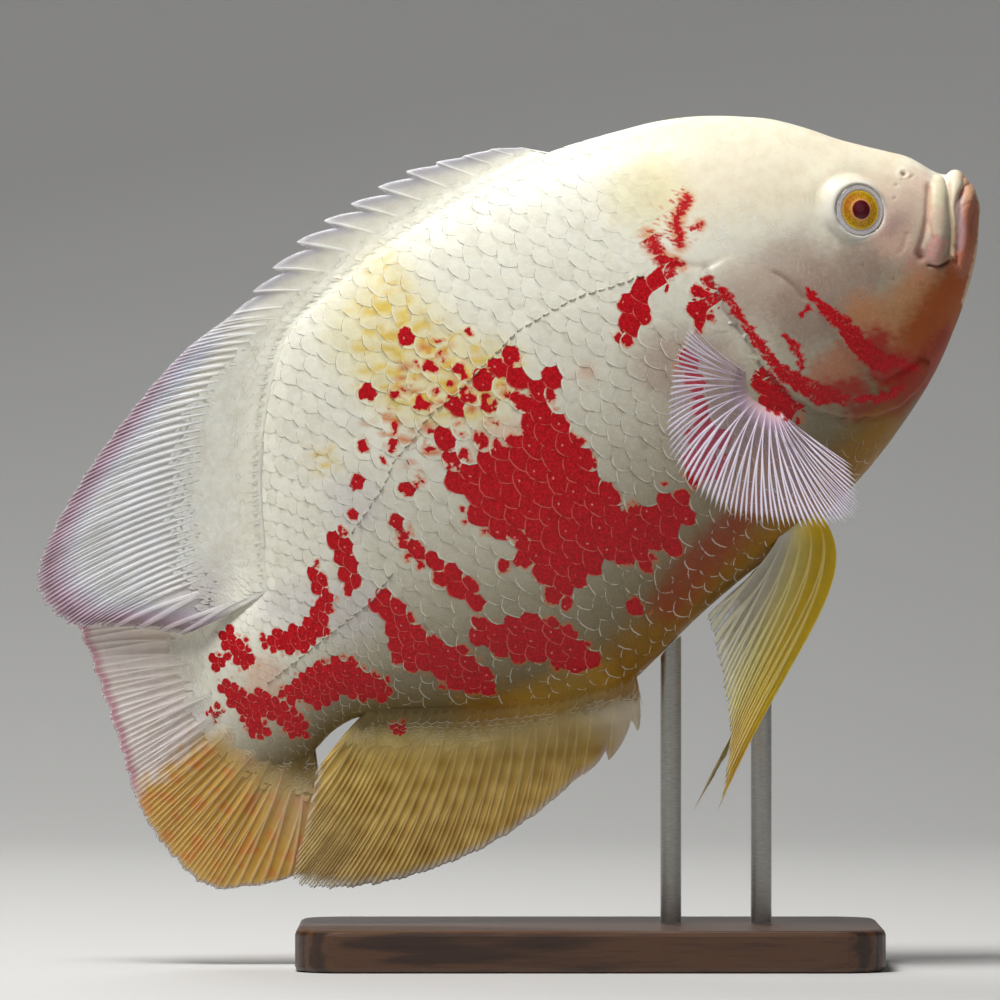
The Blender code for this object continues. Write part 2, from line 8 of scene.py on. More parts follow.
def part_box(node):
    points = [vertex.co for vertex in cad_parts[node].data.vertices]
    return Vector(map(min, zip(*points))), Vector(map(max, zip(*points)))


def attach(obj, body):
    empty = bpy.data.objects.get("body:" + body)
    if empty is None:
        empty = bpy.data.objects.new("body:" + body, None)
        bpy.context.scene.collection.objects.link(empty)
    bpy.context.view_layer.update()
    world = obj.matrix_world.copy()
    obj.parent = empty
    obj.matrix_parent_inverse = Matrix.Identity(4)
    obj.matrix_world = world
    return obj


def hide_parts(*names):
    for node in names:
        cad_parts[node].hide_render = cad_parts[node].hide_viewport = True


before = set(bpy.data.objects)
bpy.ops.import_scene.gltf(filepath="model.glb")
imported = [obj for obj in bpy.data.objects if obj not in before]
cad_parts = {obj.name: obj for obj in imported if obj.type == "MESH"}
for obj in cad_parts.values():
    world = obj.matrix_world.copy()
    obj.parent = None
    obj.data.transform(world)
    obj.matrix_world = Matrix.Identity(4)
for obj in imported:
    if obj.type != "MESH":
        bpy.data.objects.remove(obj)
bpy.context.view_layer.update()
print("frame loaded")

# Shapes are drawn in millimetres in the fish's own frame: s back from the snout, h toward the
# back, y to the fish's left. The pose turns them to metres, with the head up.
pose = {
    "pitch": 36.0,            # degrees
    "snoutAhead": 0.112,      # of the middle of the stand's base
    "snoutHeight": 0.219,
}
baseLow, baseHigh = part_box("stand_base")
snout = Vector(((baseLow.x + baseHigh.x) / 2 + pose["snoutAhead"],
                (baseLow.y + baseHigh.y) / 2, pose["snoutHeight"]))
turning = (Matrix.Translation(snout) @ Matrix.Rotation(-math.radians(pose["pitch"]), 4, "Y")
           @ Matrix.Scale(0.001, 4))
turnTable = np.array(turning)


def posed(s, h, y):
    local = np.stack([-s, y, h], -1)
    return local @ turnTable[:3, :3].T + turnTable[:3, 3]


# ---- small maths used by several pieces

def ease(x, low, high):
    t = np.clip((x - low) / (high - low), 0, 1)
    return t * t * (3 - 2 * t)


def softMax(a, b, blend):
    near = np.maximum(blend - np.abs(a - b), 0) / blend
    return np.maximum(a, b) + near * near * blend / 4


def curveThrough(xs, ys, x):
    # a smooth curve through every row of a table
    slopes = np.gradient(ys, xs)
    i = np.clip(np.searchsorted(xs, x) - 1, 0, len(xs) - 2)
    step = xs[i + 1] - xs[i]
    t = (x - xs[i]) / step
    return ((2 * t ** 3 - 3 * t ** 2 + 1) * ys[i] + (t ** 3 - 2 * t ** 2 + t) * step * slopes[i]
            + (3 * t ** 2 - 2 * t ** 3) * ys[i + 1] + (t ** 3 - t ** 2) * step * slopes[i + 1])


def lineDistance(s, h, line):
    # distance to a line in the side view, and the share of the line's length reached there
    best = np.full(np.shape(s), 1e9)
    share = np.zeros(np.shape(s))
    p = np.array(line, float)[:, :2]
    lengths = np.linalg.norm(np.diff(p, axis=0), axis=1)
    start = np.concatenate([[0], np.cumsum(lengths)])
    for i, length in enumerate(lengths):
        d = (p[i + 1] - p[i]) / length
        t = np.clip((s - p[i, 0]) * d[0] + (h - p[i, 1]) * d[1], 0, length)
        far = np.hypot(s - p[i, 0] - t * d[0], h - p[i, 1] - t * d[1])
        share = np.where(far < best, (start[i] + t) / start[-1], share)
        best = np.minimum(best, far)
    return best, share


def insideOf(s, h, outline):
    inside = np.zeros(np.shape(s), bool)
    p = np.array(outline, float)
    for (s0, h0), (s1, h1) in zip(p, np.roll(p, -1, 0)):
        if h0 == h1:
            continue
        crosses = (h0 > h) != (h1 > h)
        inside ^= crosses & (s < (s1 - s0) * (h - h0) / (h1 - h0) + s0)
    return inside


def strokes(s, h, marks):
    # how far inside the nearest painted stroke a point is; a stroke is a chain of (s, h, radius)
    best = np.full(np.shape(s), -99.0)
    for chain in marks:
        chain = chain if len(chain) > 1 else chain * 2
        for (s0, h0, r0), (s1, h1, r1) in zip(chain, chain[1:]):
            ds, dh = s1 - s0, h1 - h0
            t = np.clip(((s - s0) * ds + (h - h0) * dh) / max(ds * ds + dh * dh, 1e-6), 0, 1)
            far = np.hypot(s - s0 - t * ds, h - h0 - t * dh)
            best = np.maximum(best, r0 + (r1 - r0) * t - far)
    return best


def ripple(s, h, size, seed=0):
    # an even, wavy wander between about -1 and 1
    total = 0
    for k in range(5):
        a = 2.4 * k + 1.7 * seed
        f = (1 + 0.37 * k) / size
        total = total + np.sin(2 * np.pi * f * (s * math.cos(a) + h * math.sin(a)) + 3.1 * k + seed)
    return total / 2.6


# ---- shader maths

class Wire:
    # wraps one socket; sums and products of wires add their Math nodes
    def __init__(self, tree, socket=None):
        self.tree = tree
        self.socket = socket

    def node(self, kind, settings=None, values=None, out=0):
        # adds any node: its settings first, then the values or links of its sockets
        made = self.tree.nodes.new(kind)
        for key, value in (settings or {}).items():
            if key == "ramp":
                stops = made.color_ramp.elements
                while len(stops) < len(value):
                    stops.new(0.5)
                for stop, (place, colour) in zip(stops, value):
                    stop.position = place
                    stop.color = colour
            else:
                setattr(made, key, value)
        for key, value in (values or {}).items():
            if isinstance(value, Wire):
                self.tree.links.new(value.socket, made.inputs[key])
            else:
                made.inputs[key].default_value = value
        return Wire(self.tree, made.outputs[out])

    def calc(self, operation, *numbers):
        return self.node("ShaderNodeMath", {"operation": operation}, dict(enumerate(numbers)))

    def __add__(self, other):
        return self.calc("ADD", self, other)

    def __radd__(self, other):
        return self.calc("ADD", other, self)

    def __sub__(self, other):
        return self.calc("SUBTRACT", self, other)

    def __rsub__(self, other):
        return self.calc("SUBTRACT", other, self)

    def __mul__(self, other):
        return self.calc("MULTIPLY", self, other)

    def __rmul__(self, other):
        return self.calc("MULTIPLY", other, self)

    def __truediv__(self, other):
        return self.calc("DIVIDE", self, other)

    def __pow__(self, other):
        return self.calc("POWER", self, other)

    def clamped(self):
        return self.node("ShaderNodeClamp", {}, {0: self})

    def between(self, low, high):
        # 0 below low, 1 above high, eased
        return self.node("ShaderNodeMapRange", {"interpolation_type": "SMOOTHSTEP"},
                         {"Value": self, "From Min": low, "From Max": high})

    def mixed(self, first, second, blend="MIX"):
        # this wire is the share of the second colour
        return self.node("ShaderNodeMix", {"data_type": "RGBA", "blend_type": blend},
                         {0: self, 6: first, 7: second}, 2)


def tone(r, g, b):
    # scene colour of a screen colour
    def line(c):
        c = c / 255
        return c / 12.92 if c < 0.04045 else ((c + 0.055) / 1.055) ** 2.4
    return (line(r), line(g), line(b), 1.0)


def newFinish(name, **constants):
    # a material, its shader's fixed values set on their own sockets, and a wire to paint with
    material = bpy.data.materials.new(name)
    material.use_nodes = True
    shader = material.node_tree.nodes["Principled BSDF"]
    for key, value in constants.items():
        shader.inputs[key.replace("_", " ")].default_value = value
    return material, Wire(material.node_tree), shader


def feed(wire, shader, socket):
    wire.tree.links.new(wire.socket, shader.inputs[socket])


def masked(paint, name):
    return paint.node("ShaderNodeAttribute", {"attribute_name": name}, {}, "Fac")


def placed(paint):
    return paint.node("ShaderNodeTexCoord", {}, {}, "Object")


def grain(paint, where, scale, detail=3.0, rough=0.5, twist=0.0):
    return paint.node("ShaderNodeTexNoise", {}, {"Vector": where, "Scale": scale, "Detail": detail,
                                                 "Roughness": rough, "Distortion": twist})


def bumped(paint, height, distance, strength=1.0, onto=None):
    values = {"Height": height, "Distance": distance, "Strength": strength}
    if onto:
        values["Normal"] = onto
    return paint.node("ShaderNodeBump", {}, values)


# ---- the body's form

bodyForm = {
    "power": 2.15,        # 2 would make the half sections elliptic
    "midShare": 0.43,
    "under": 0.36,        # how deep the skin lies below the scales' surface
    "rows": [             # s, top, bottom, half width
        (-1.3, 9.6, 2.4, 2.2), (-0.4, 10.8, -0.6, 4.4), (1.6, 11.9, -3.5, 6.8), (4, 14.2, -6.6, 8.8),
        (8, 22.6, -10.7, 11.4), (12, 27.6, -14.2, 13.3), (17, 33.4, -18.3, 15.3),
        (22, 39.6, -21.9, 17.0), (27, 47.0, -25.1, 18.4), (33, 54.6, -28.8, 19.8),
        (40, 60.8, -32.5, 21.4), (50, 68.2, -36.6, 23.6), (60, 73.8, -40.0, 25.4),
        (70, 78.1, -43.0, 26.6), (80, 81.9, -45.1, 27.3), (90, 85.1, -46.2, 27.6),
        (101, 87.2, -46.8, 27.5), (113, 89.2, -47.2, 27.0), (127, 90.6, -48.1, 26.0),
        (140, 91.4, -49.6, 24.6), (152, 91.7, -51.6, 22.8), (162, 91.2, -52.6, 20.9),
        (172, 90.2, -49.6, 18.6), (182, 88.6, -45.0, 16.2), (190, 84.4, -41.0, 14.4),
        (198, 77.8, -36.3, 12.7), (206, 69.6, -31.4, 11.2), (213, 61.2, -26.6, 10.0),
        (220, 51.2, -21.2, 8.9), (227, 40.0, -16.6, 7.9), (233, 33.0, -14.2, 7.1),
        (240, 31.6, -13.8, 6.2), (248, 32.0, -15.2, 4.9), (255, 30.6, -15.4, 3.3),
        (261, 27.0, -13.8, 1.9), (266, 22.0, -11.0, 1.0), (270, 16.0, -7.0, 0.3)],
    "columns": 206,       # of the skin on each side
}
bodyTable = np.array(bodyForm["rows"], float)

headForm = {
    "upperLip": [(0.9, 10.1, 0, 2.5), (1.4, 9.7, 3.4, 2.5), (3.0, 8.1, 6.4, 2.3), (5.2, 5.8, 8.4, 2.0),
                 (7.4, 2.7, 10.0, 1.8), (9.4, -0.6, 11.2, 1.6), (12.0, -4.2, 12.4, 1.4), (15.0, -7.5, 13.6, 1.0)],
    "lowerLip": [(0.7, 5.1, 0, 2.5), (1.2, 4.7, 3.4, 2.5), (2.6, 3.3, 6.2, 2.4), (4.8, 1.1, 8.2, 2.3),
                 (6.8, -1.6, 9.8, 2.1), (9.2, -4.6, 11.0, 1.9), (12.2, -7.8, 12.2, 1.6),
                 (15.2, -10.8, 13.2, 1.0)],
    # the jaw bone's s, h, radius and how far it stands proud
    "jawBone": [(5.6, 12.2, 1.6, 0.5), (8.6, 9.2, 3.0, 1.0), (12.6, 4.1, 3.6, 1.3),
                (16.2, -0.7, 3.4, 1.3), (19.2, -4.0, 2.8, 1.1), (21.0, -6.0, 1.6, 0.5)],
    # line, depth, width, its tone and how strongly it is painted; the tone darkens the groove, partly its own colour
    # and partly painted shade
    "grooves": [
        ([(-0.6, 6.9), (1.4, 6.1), (3.4, 5.2), (5.0, 4.1), (6.2, 2.8), (7.3, 0.9), (8.4, -1.0),
          (9.8, -2.7), (11.6, -5.0), (13.3, -7.0), (15.4, -8.2)], 0.8, 0.8, (164, 132, 134), 0.45),
        ([(2.7, 11.6), (3.7, 9.7), (5.6, 7.0), (7.4, 5.0), (8.4, 3.0), (9.5, 0.6), (10.7, -1.6), (12.3, -3.6),
          (13.5, -5.5), (15.1, -7.1), (15.9, -7.5)], 0.5, 0.8, (158, 116, 78), 0.5),
        ([(8.2, 14.4), (8.8, 13.0), (10.5, 10.6), (12.5, 8.2), (14.5, 5.9), (16.5, 4.0), (18.5, 2.2),
          (20.3, 0.8), (22.3, -0.5), (24.6, -1.9)], 0.85, 0.85, (186, 108, 92), 0.5),
        ([(14.5, 5.3), (15.4, 3.3), (16.5, 0.7), (17.3, -1.1)], 0.25, 0.5, (196, 130, 118), 0.4),
        ([(23.1, -5.0), (22.1, -5.9), (20.9, -7.2), (19.7, -7.8), (17.7, -8.1), (16.1, -7.7)],
         0.8, 0.55, (86, 26, 20), 0.85),
        ([(6.2, 1.5), (5.4, 1.9), (4.2, 2.2), (2.8, 2.0), (1.4, 2.1)], 0.12, 0.5, (186, 120, 96), 0.4),
        ([(3.0, -1.0), (4.6, -2.6), (7.0, -5.4)], 0.16, 0.5, (150, 84, 60), 0.3),
        ([(38.8, 21.9), (39.6, 18.8), (39.1, 15.8)], 0.3, 0.5, (196, 176, 170), 0.4),
        ([(14.8, 19.1), (12.5, 17.9), (10.0, 17.7)], 0.25, 0.4, (206, 170, 156), 0.4),
        ([(21.5, 6.0), (24.5, 3.4), (28.0, 1.8)], 0.22, 0.8, (186, 150, 142), 0.35),
        ([(36, -23), (44, -25.5), (52, -25), (56, -19), (57.0, -8), (56.9, 4)], 0.3, 1.0, (120, 60, 50), 0.15),
        ([(56.9, 6.3), (57.3, 9), (57.5, 12.3), (58.3, 15.2), (60.2, 20)], 0.45, 0.6, (120, 84, 76), 0.5),
        ([(84, 38), (79, 35), (73.5, 31)], 0.25, 0.9, (150, 116, 100), 0.2)],
    "heart": (17.0, 2.0, 0.0),    # lips and jaw bone swell away from here
    # place, radius, depth, tone and strength of each pit or pore; the tone darkens it, partly its own colour and
    # partly painted shade
    "pits": [((22.9, -2.3), 1.25, 1.0, (104, 24, 22), 0.8), ((21.9, -1.2), 0.8, 0.4, (140, 50, 40), 0.5),
             ((12.7, 19.7), 0.65, 0.9, (110, 70, 60), 0.8), ((16.5, 18.5), 0.5, 0.3, (150, 110, 100), 0.5),
             ((19.1, 15.7), 0.5, 0.3, (150, 110, 100), 0.5), ((38, 5.5), 0.5, 0.3, (130, 96, 90), 0.5),
             ((33, -3), 0.5, 0.25, (130, 96, 90), 0.4), ((27, -9), 0.5, 0.25, (130, 80, 60), 0.4)],
    "nostril": (12.7, 19.7),
    "gill": [(57, 14), (58, 4), (57.5, -10), (56, -19), (52, -25), (45, -26.8), (40, -26),
             (38.6, -28.4), (41, -31), (46, -32.6), (53, -33.2), (60, -31.4), (67, -27.2),
             (72.6, -20.6), (76.2, -12.6), (78.3, -3), (77, 8), (77, 19), (74.6, 30.6), (66, 29.4),
             (60, 23)],
    "gillEdge": [(74.6, 30.6), (77, 19), (77, 8), (78.3, -3), (76.2, -12.6), (72.6, -20.6),
                 (67, -27.2), (60, -31.4), (53, -33.2), (46, -32.6), (41, -31), (36, -29.5)],
    "gillProud": 0.75,
}

eyeForm = {
    "at": (29.6, 18.9),
    "turn": 20.0, "lift": -8.0,      # degrees toward the snout, and down
    "radius": 7.9, "depth": 4.9, "sunk": 1.2,
    "rimOut": 2.0,
    "iris": 5.75, "pupil": 2.85,
}


def section(s):
    rows = [curveThrough(bodyTable[:, 0], bodyTable[:, i], s) for i in (1, 2, 3)]
    return rows[0], rows[1], rows[2]


def sideOf(s, h):
    # half width of the plain body at a height, as the solids have it
    top, bottom, half = (np.interp(s, bodyTable[:, 0], bodyTable[:, i]) for i in (1, 2, 3))
    mid = bottom + bodyForm["midShare"] * (top - bottom)
    t = min(1.0, abs((h - mid) / (top - mid if h > mid else mid - bottom)))
    return half * (1 - t ** bodyForm["power"]) ** (1 / bodyForm["power"])


def halfShell(s, top, bottom, half, columns):
    # points of one side, evenly spaced along each section from the belly over the middle to the back
    power = 2 / bodyForm["power"]
    mid = bottom + bodyForm["midShare"] * (top - bottom)
    angle = np.linspace(0, np.pi, 361)
    c, d = -np.cos(angle), np.abs(np.sin(angle))
    up, out = np.sign(c) * np.abs(c) ** power, d ** power
    reach = np.where(c > 0, (top - mid)[:, None], (mid - bottom)[:, None])
    h = mid[:, None] + reach * up
    y = half[:, None] * out
    arc = np.concatenate([np.zeros((len(s), 1)),
                          np.cumsum(np.hypot(np.diff(h), np.diff(y)), axis=1)], 1)
    low = arc[:, 180:181]
    place = np.where(angle < np.pi / 2, arc / low - 1, (arc - low) / (arc[:, -1:] - low))
    even = np.linspace(-1, 1, columns + 1)
    points = np.stack([np.repeat(s[:, None], columns + 1, 1),
                       np.stack([np.interp(even, p, q) for p, q in zip(place, h)]),
                       np.stack([np.interp(even, p, q) for p, q in zip(place, y)])], -1)
    return points, arc[:, 180], arc[:, -1] - arc[:, 180]


def outward(points):
    along = np.gradient(points, axis=0)
    around = np.gradient(points, axis=1)
    normal = np.cross(along, around)
    normal[:, 0, 2] = normal[:, -1, 2] = 0
    length = np.linalg.norm(normal, axis=2, keepdims=True)
    normal = normal / np.maximum(length, 1e-9)
    return np.where(length < 1e-9, np.array([-1.0, 0, 0]), normal)


def eyePlace():
    # the eye's centre and axis on the left, as (s, h, y)
    turn, lift = math.radians(eyeForm["turn"]), math.radians(eyeForm["lift"])
    axis = np.array([-math.sin(turn), math.sin(lift), math.cos(turn) * math.cos(lift)])
    axis /= np.linalg.norm(axis)
    s, h = eyeForm["at"]
    return np.array([s, h, sideOf(s, h)]) - axis * eyeForm["sunk"], axis


def resampled(path, count):
    p = np.array(path, float)
    steps = np.linspace(0, len(p) - 1, count)
    return np.stack([curveThrough(np.arange(len(p), dtype=float), p[:, i], steps)
                     for i in range(p.shape[1])], 1)


def reached(heart, rays, balls):
    # how far along each ray from the heart the outermost ball reaches
    reach = np.zeros(rays.shape[:2])
    for *centre, radius in balls:
        to = np.array(centre) - heart
        ahead = rays @ to
        inner = radius ** 2 - to @ to + ahead ** 2
        reach = np.maximum(reach, np.where(inner > 0, ahead + np.sqrt(np.maximum(inner, 0)), 0))
    return reach


def grooveShare(s, h, line, width):
    far, share = lineDistance(s, h, line)
    return np.exp(-(far / width) ** 2) * ease(share, 0, 0.12) * (1 - ease(share, 0.86, 1))


def withRelief(points, normals):
    # raises lips, jaw bone, gill cover and the skin around the eye, and sinks grooves and pits
    points = points.copy()
    front = points[:, 0, 0] < 27
    heart = np.array(headForm["heart"])
    block = points[front] - heart
    plain = np.linalg.norm(block, axis=-1)
    rays = block / plain[..., None]
    balls = [(0.9, 7.5, y, 2.2) for y in np.linspace(-3.4, 3.4, 41)]
    for name in ("upperLip", "lowerLip"):
        path = resampled(headForm[name], 300)
        balls += [tuple(p) for p in path]
        balls += [(p[0], p[1], -p[2], p[3]) for p in path[1:60]]
    lips = reached(heart, rays, balls)
    bone = resampled(headForm["jawBone"], 60)
    bone = [(s, h, sideOf(s, h) + proud - r, r) for s, h, r, proud in bone]
    jaw = reached(heart, rays, bone)
    full = softMax(softMax(plain, lips, 1.5), jaw, 1.6)
    points[front] = heart + rays * full[..., None]
    normals = normals.copy()
    inward = ease(points[front][..., 0], 6, 14)[..., None]
    normals[front] = normals[front] * inward + rays * (1 - inward)

    s, h = points[..., 0], points[..., 1]
    cut = np.zeros(points.shape[:2])
    for line, depth, width, _, _ in headForm["grooves"]:
        cut = cut + depth * grooveShare(s, h, line, width)
    for (ps, ph), radius, depth, _, _ in headForm["pits"]:
        cut = cut + depth * np.exp(-((s - ps) ** 2 + (h - ph) ** 2) / radius ** 2)
    far = np.hypot(s - headForm["nostril"][0], h - headForm["nostril"][1])
    cut = cut - 0.25 * np.exp(-((far - 1.5) / 0.6) ** 2)
    # the brow over the eye, the cheek's soft muscle and shallow dents between them
    cut = cut - 0.8 * np.exp(-((s - 31) / 9) ** 2 - ((h - 31) / 5) ** 2)
    cut = cut - 0.7 * np.exp(-((s - 44) / 9) ** 2 - ((h + 1) / 12) ** 2)
    cut = cut + 0.6 * np.exp(-((s - 24) / 5) ** 2 - ((h - 7) / 5) ** 2)

    # the gill cover stands proud, most at its rear edge
    far, _ = lineDistance(s, h, headForm["gill"] + headForm["gill"][:1])
    inside = insideOf(s, h, headForm["gill"])
    signed = np.where(inside, far, -far)
    edge, _ = lineDistance(s, h, headForm["gillEdge"])
    sharp = ease(signed, -0.35, 0.35)
    blunt = ease(signed, 0, 8)
    near = np.exp(-(edge / 6) ** 2)
    cut = cut - headForm["gillProud"] * (sharp * near + blunt * (1 - near))
    cut = cut + 0.35 * np.exp(-((signed + 0.9) / 0.7) ** 2) * np.exp(-(edge / 3) ** 2)
    # a painted shadow just behind the gill cover's rear edge
    shadow = 0.5 * np.exp(-((signed + 0.6) / 0.45) ** 2) * np.exp(-(edge / 3) ** 2)
    cut = cut + 0.28 * ease(h, 40, 56) + 0.5 * (1 - ease(s, 4, 10)) * (1 - ease(h, -4, 2))
    points = points - normals * cut[..., None]

    # the skin bulges around the eye, most behind it, and opens in a thin rim
    centre, axis = eyePlace()
    to = points - centre
    high = to @ axis
    flatPart = to - high[..., None] * axis
    radial = np.linalg.norm(flatPart, axis=-1)
    near = (radial < 16) & (high > -8)
    rearward = (flatPart[..., 0] * 0.6 + flatPart[..., 1] * 0.8) / np.maximum(radial, 1e-6)
    reach = 10.6 + 2.0 * rearward
    rim = eyeForm["rimOut"] - 0.12
    bulge = 1 - ease(radial, 7.4, reach) ** 1.2
    target = high + (rim + 0.35 * bulge - high) * bulge
    target = target + 0.16 * np.exp(-((radial - 7.75) / 0.4) ** 2)
    target = target - 0.22 * np.exp(-((radial - reach - 0.2) / 1.4) ** 2) * (0.6 - 0.4 * rearward)
    ramp = np.clip((radial - 6.1) / 1.45, 0, 1)
    target = target * ramp - 1.8 * (1 - ramp)
    points = np.where(near[..., None], points + (target - high)[..., None] * axis, points)
    lid = np.where(near, bulge, 0)
    lid = np.where(radial < 7.5, 0.8, lid)
    return points, shadow, lid


print("form ready")

# ---- markings, the same on skin and scales

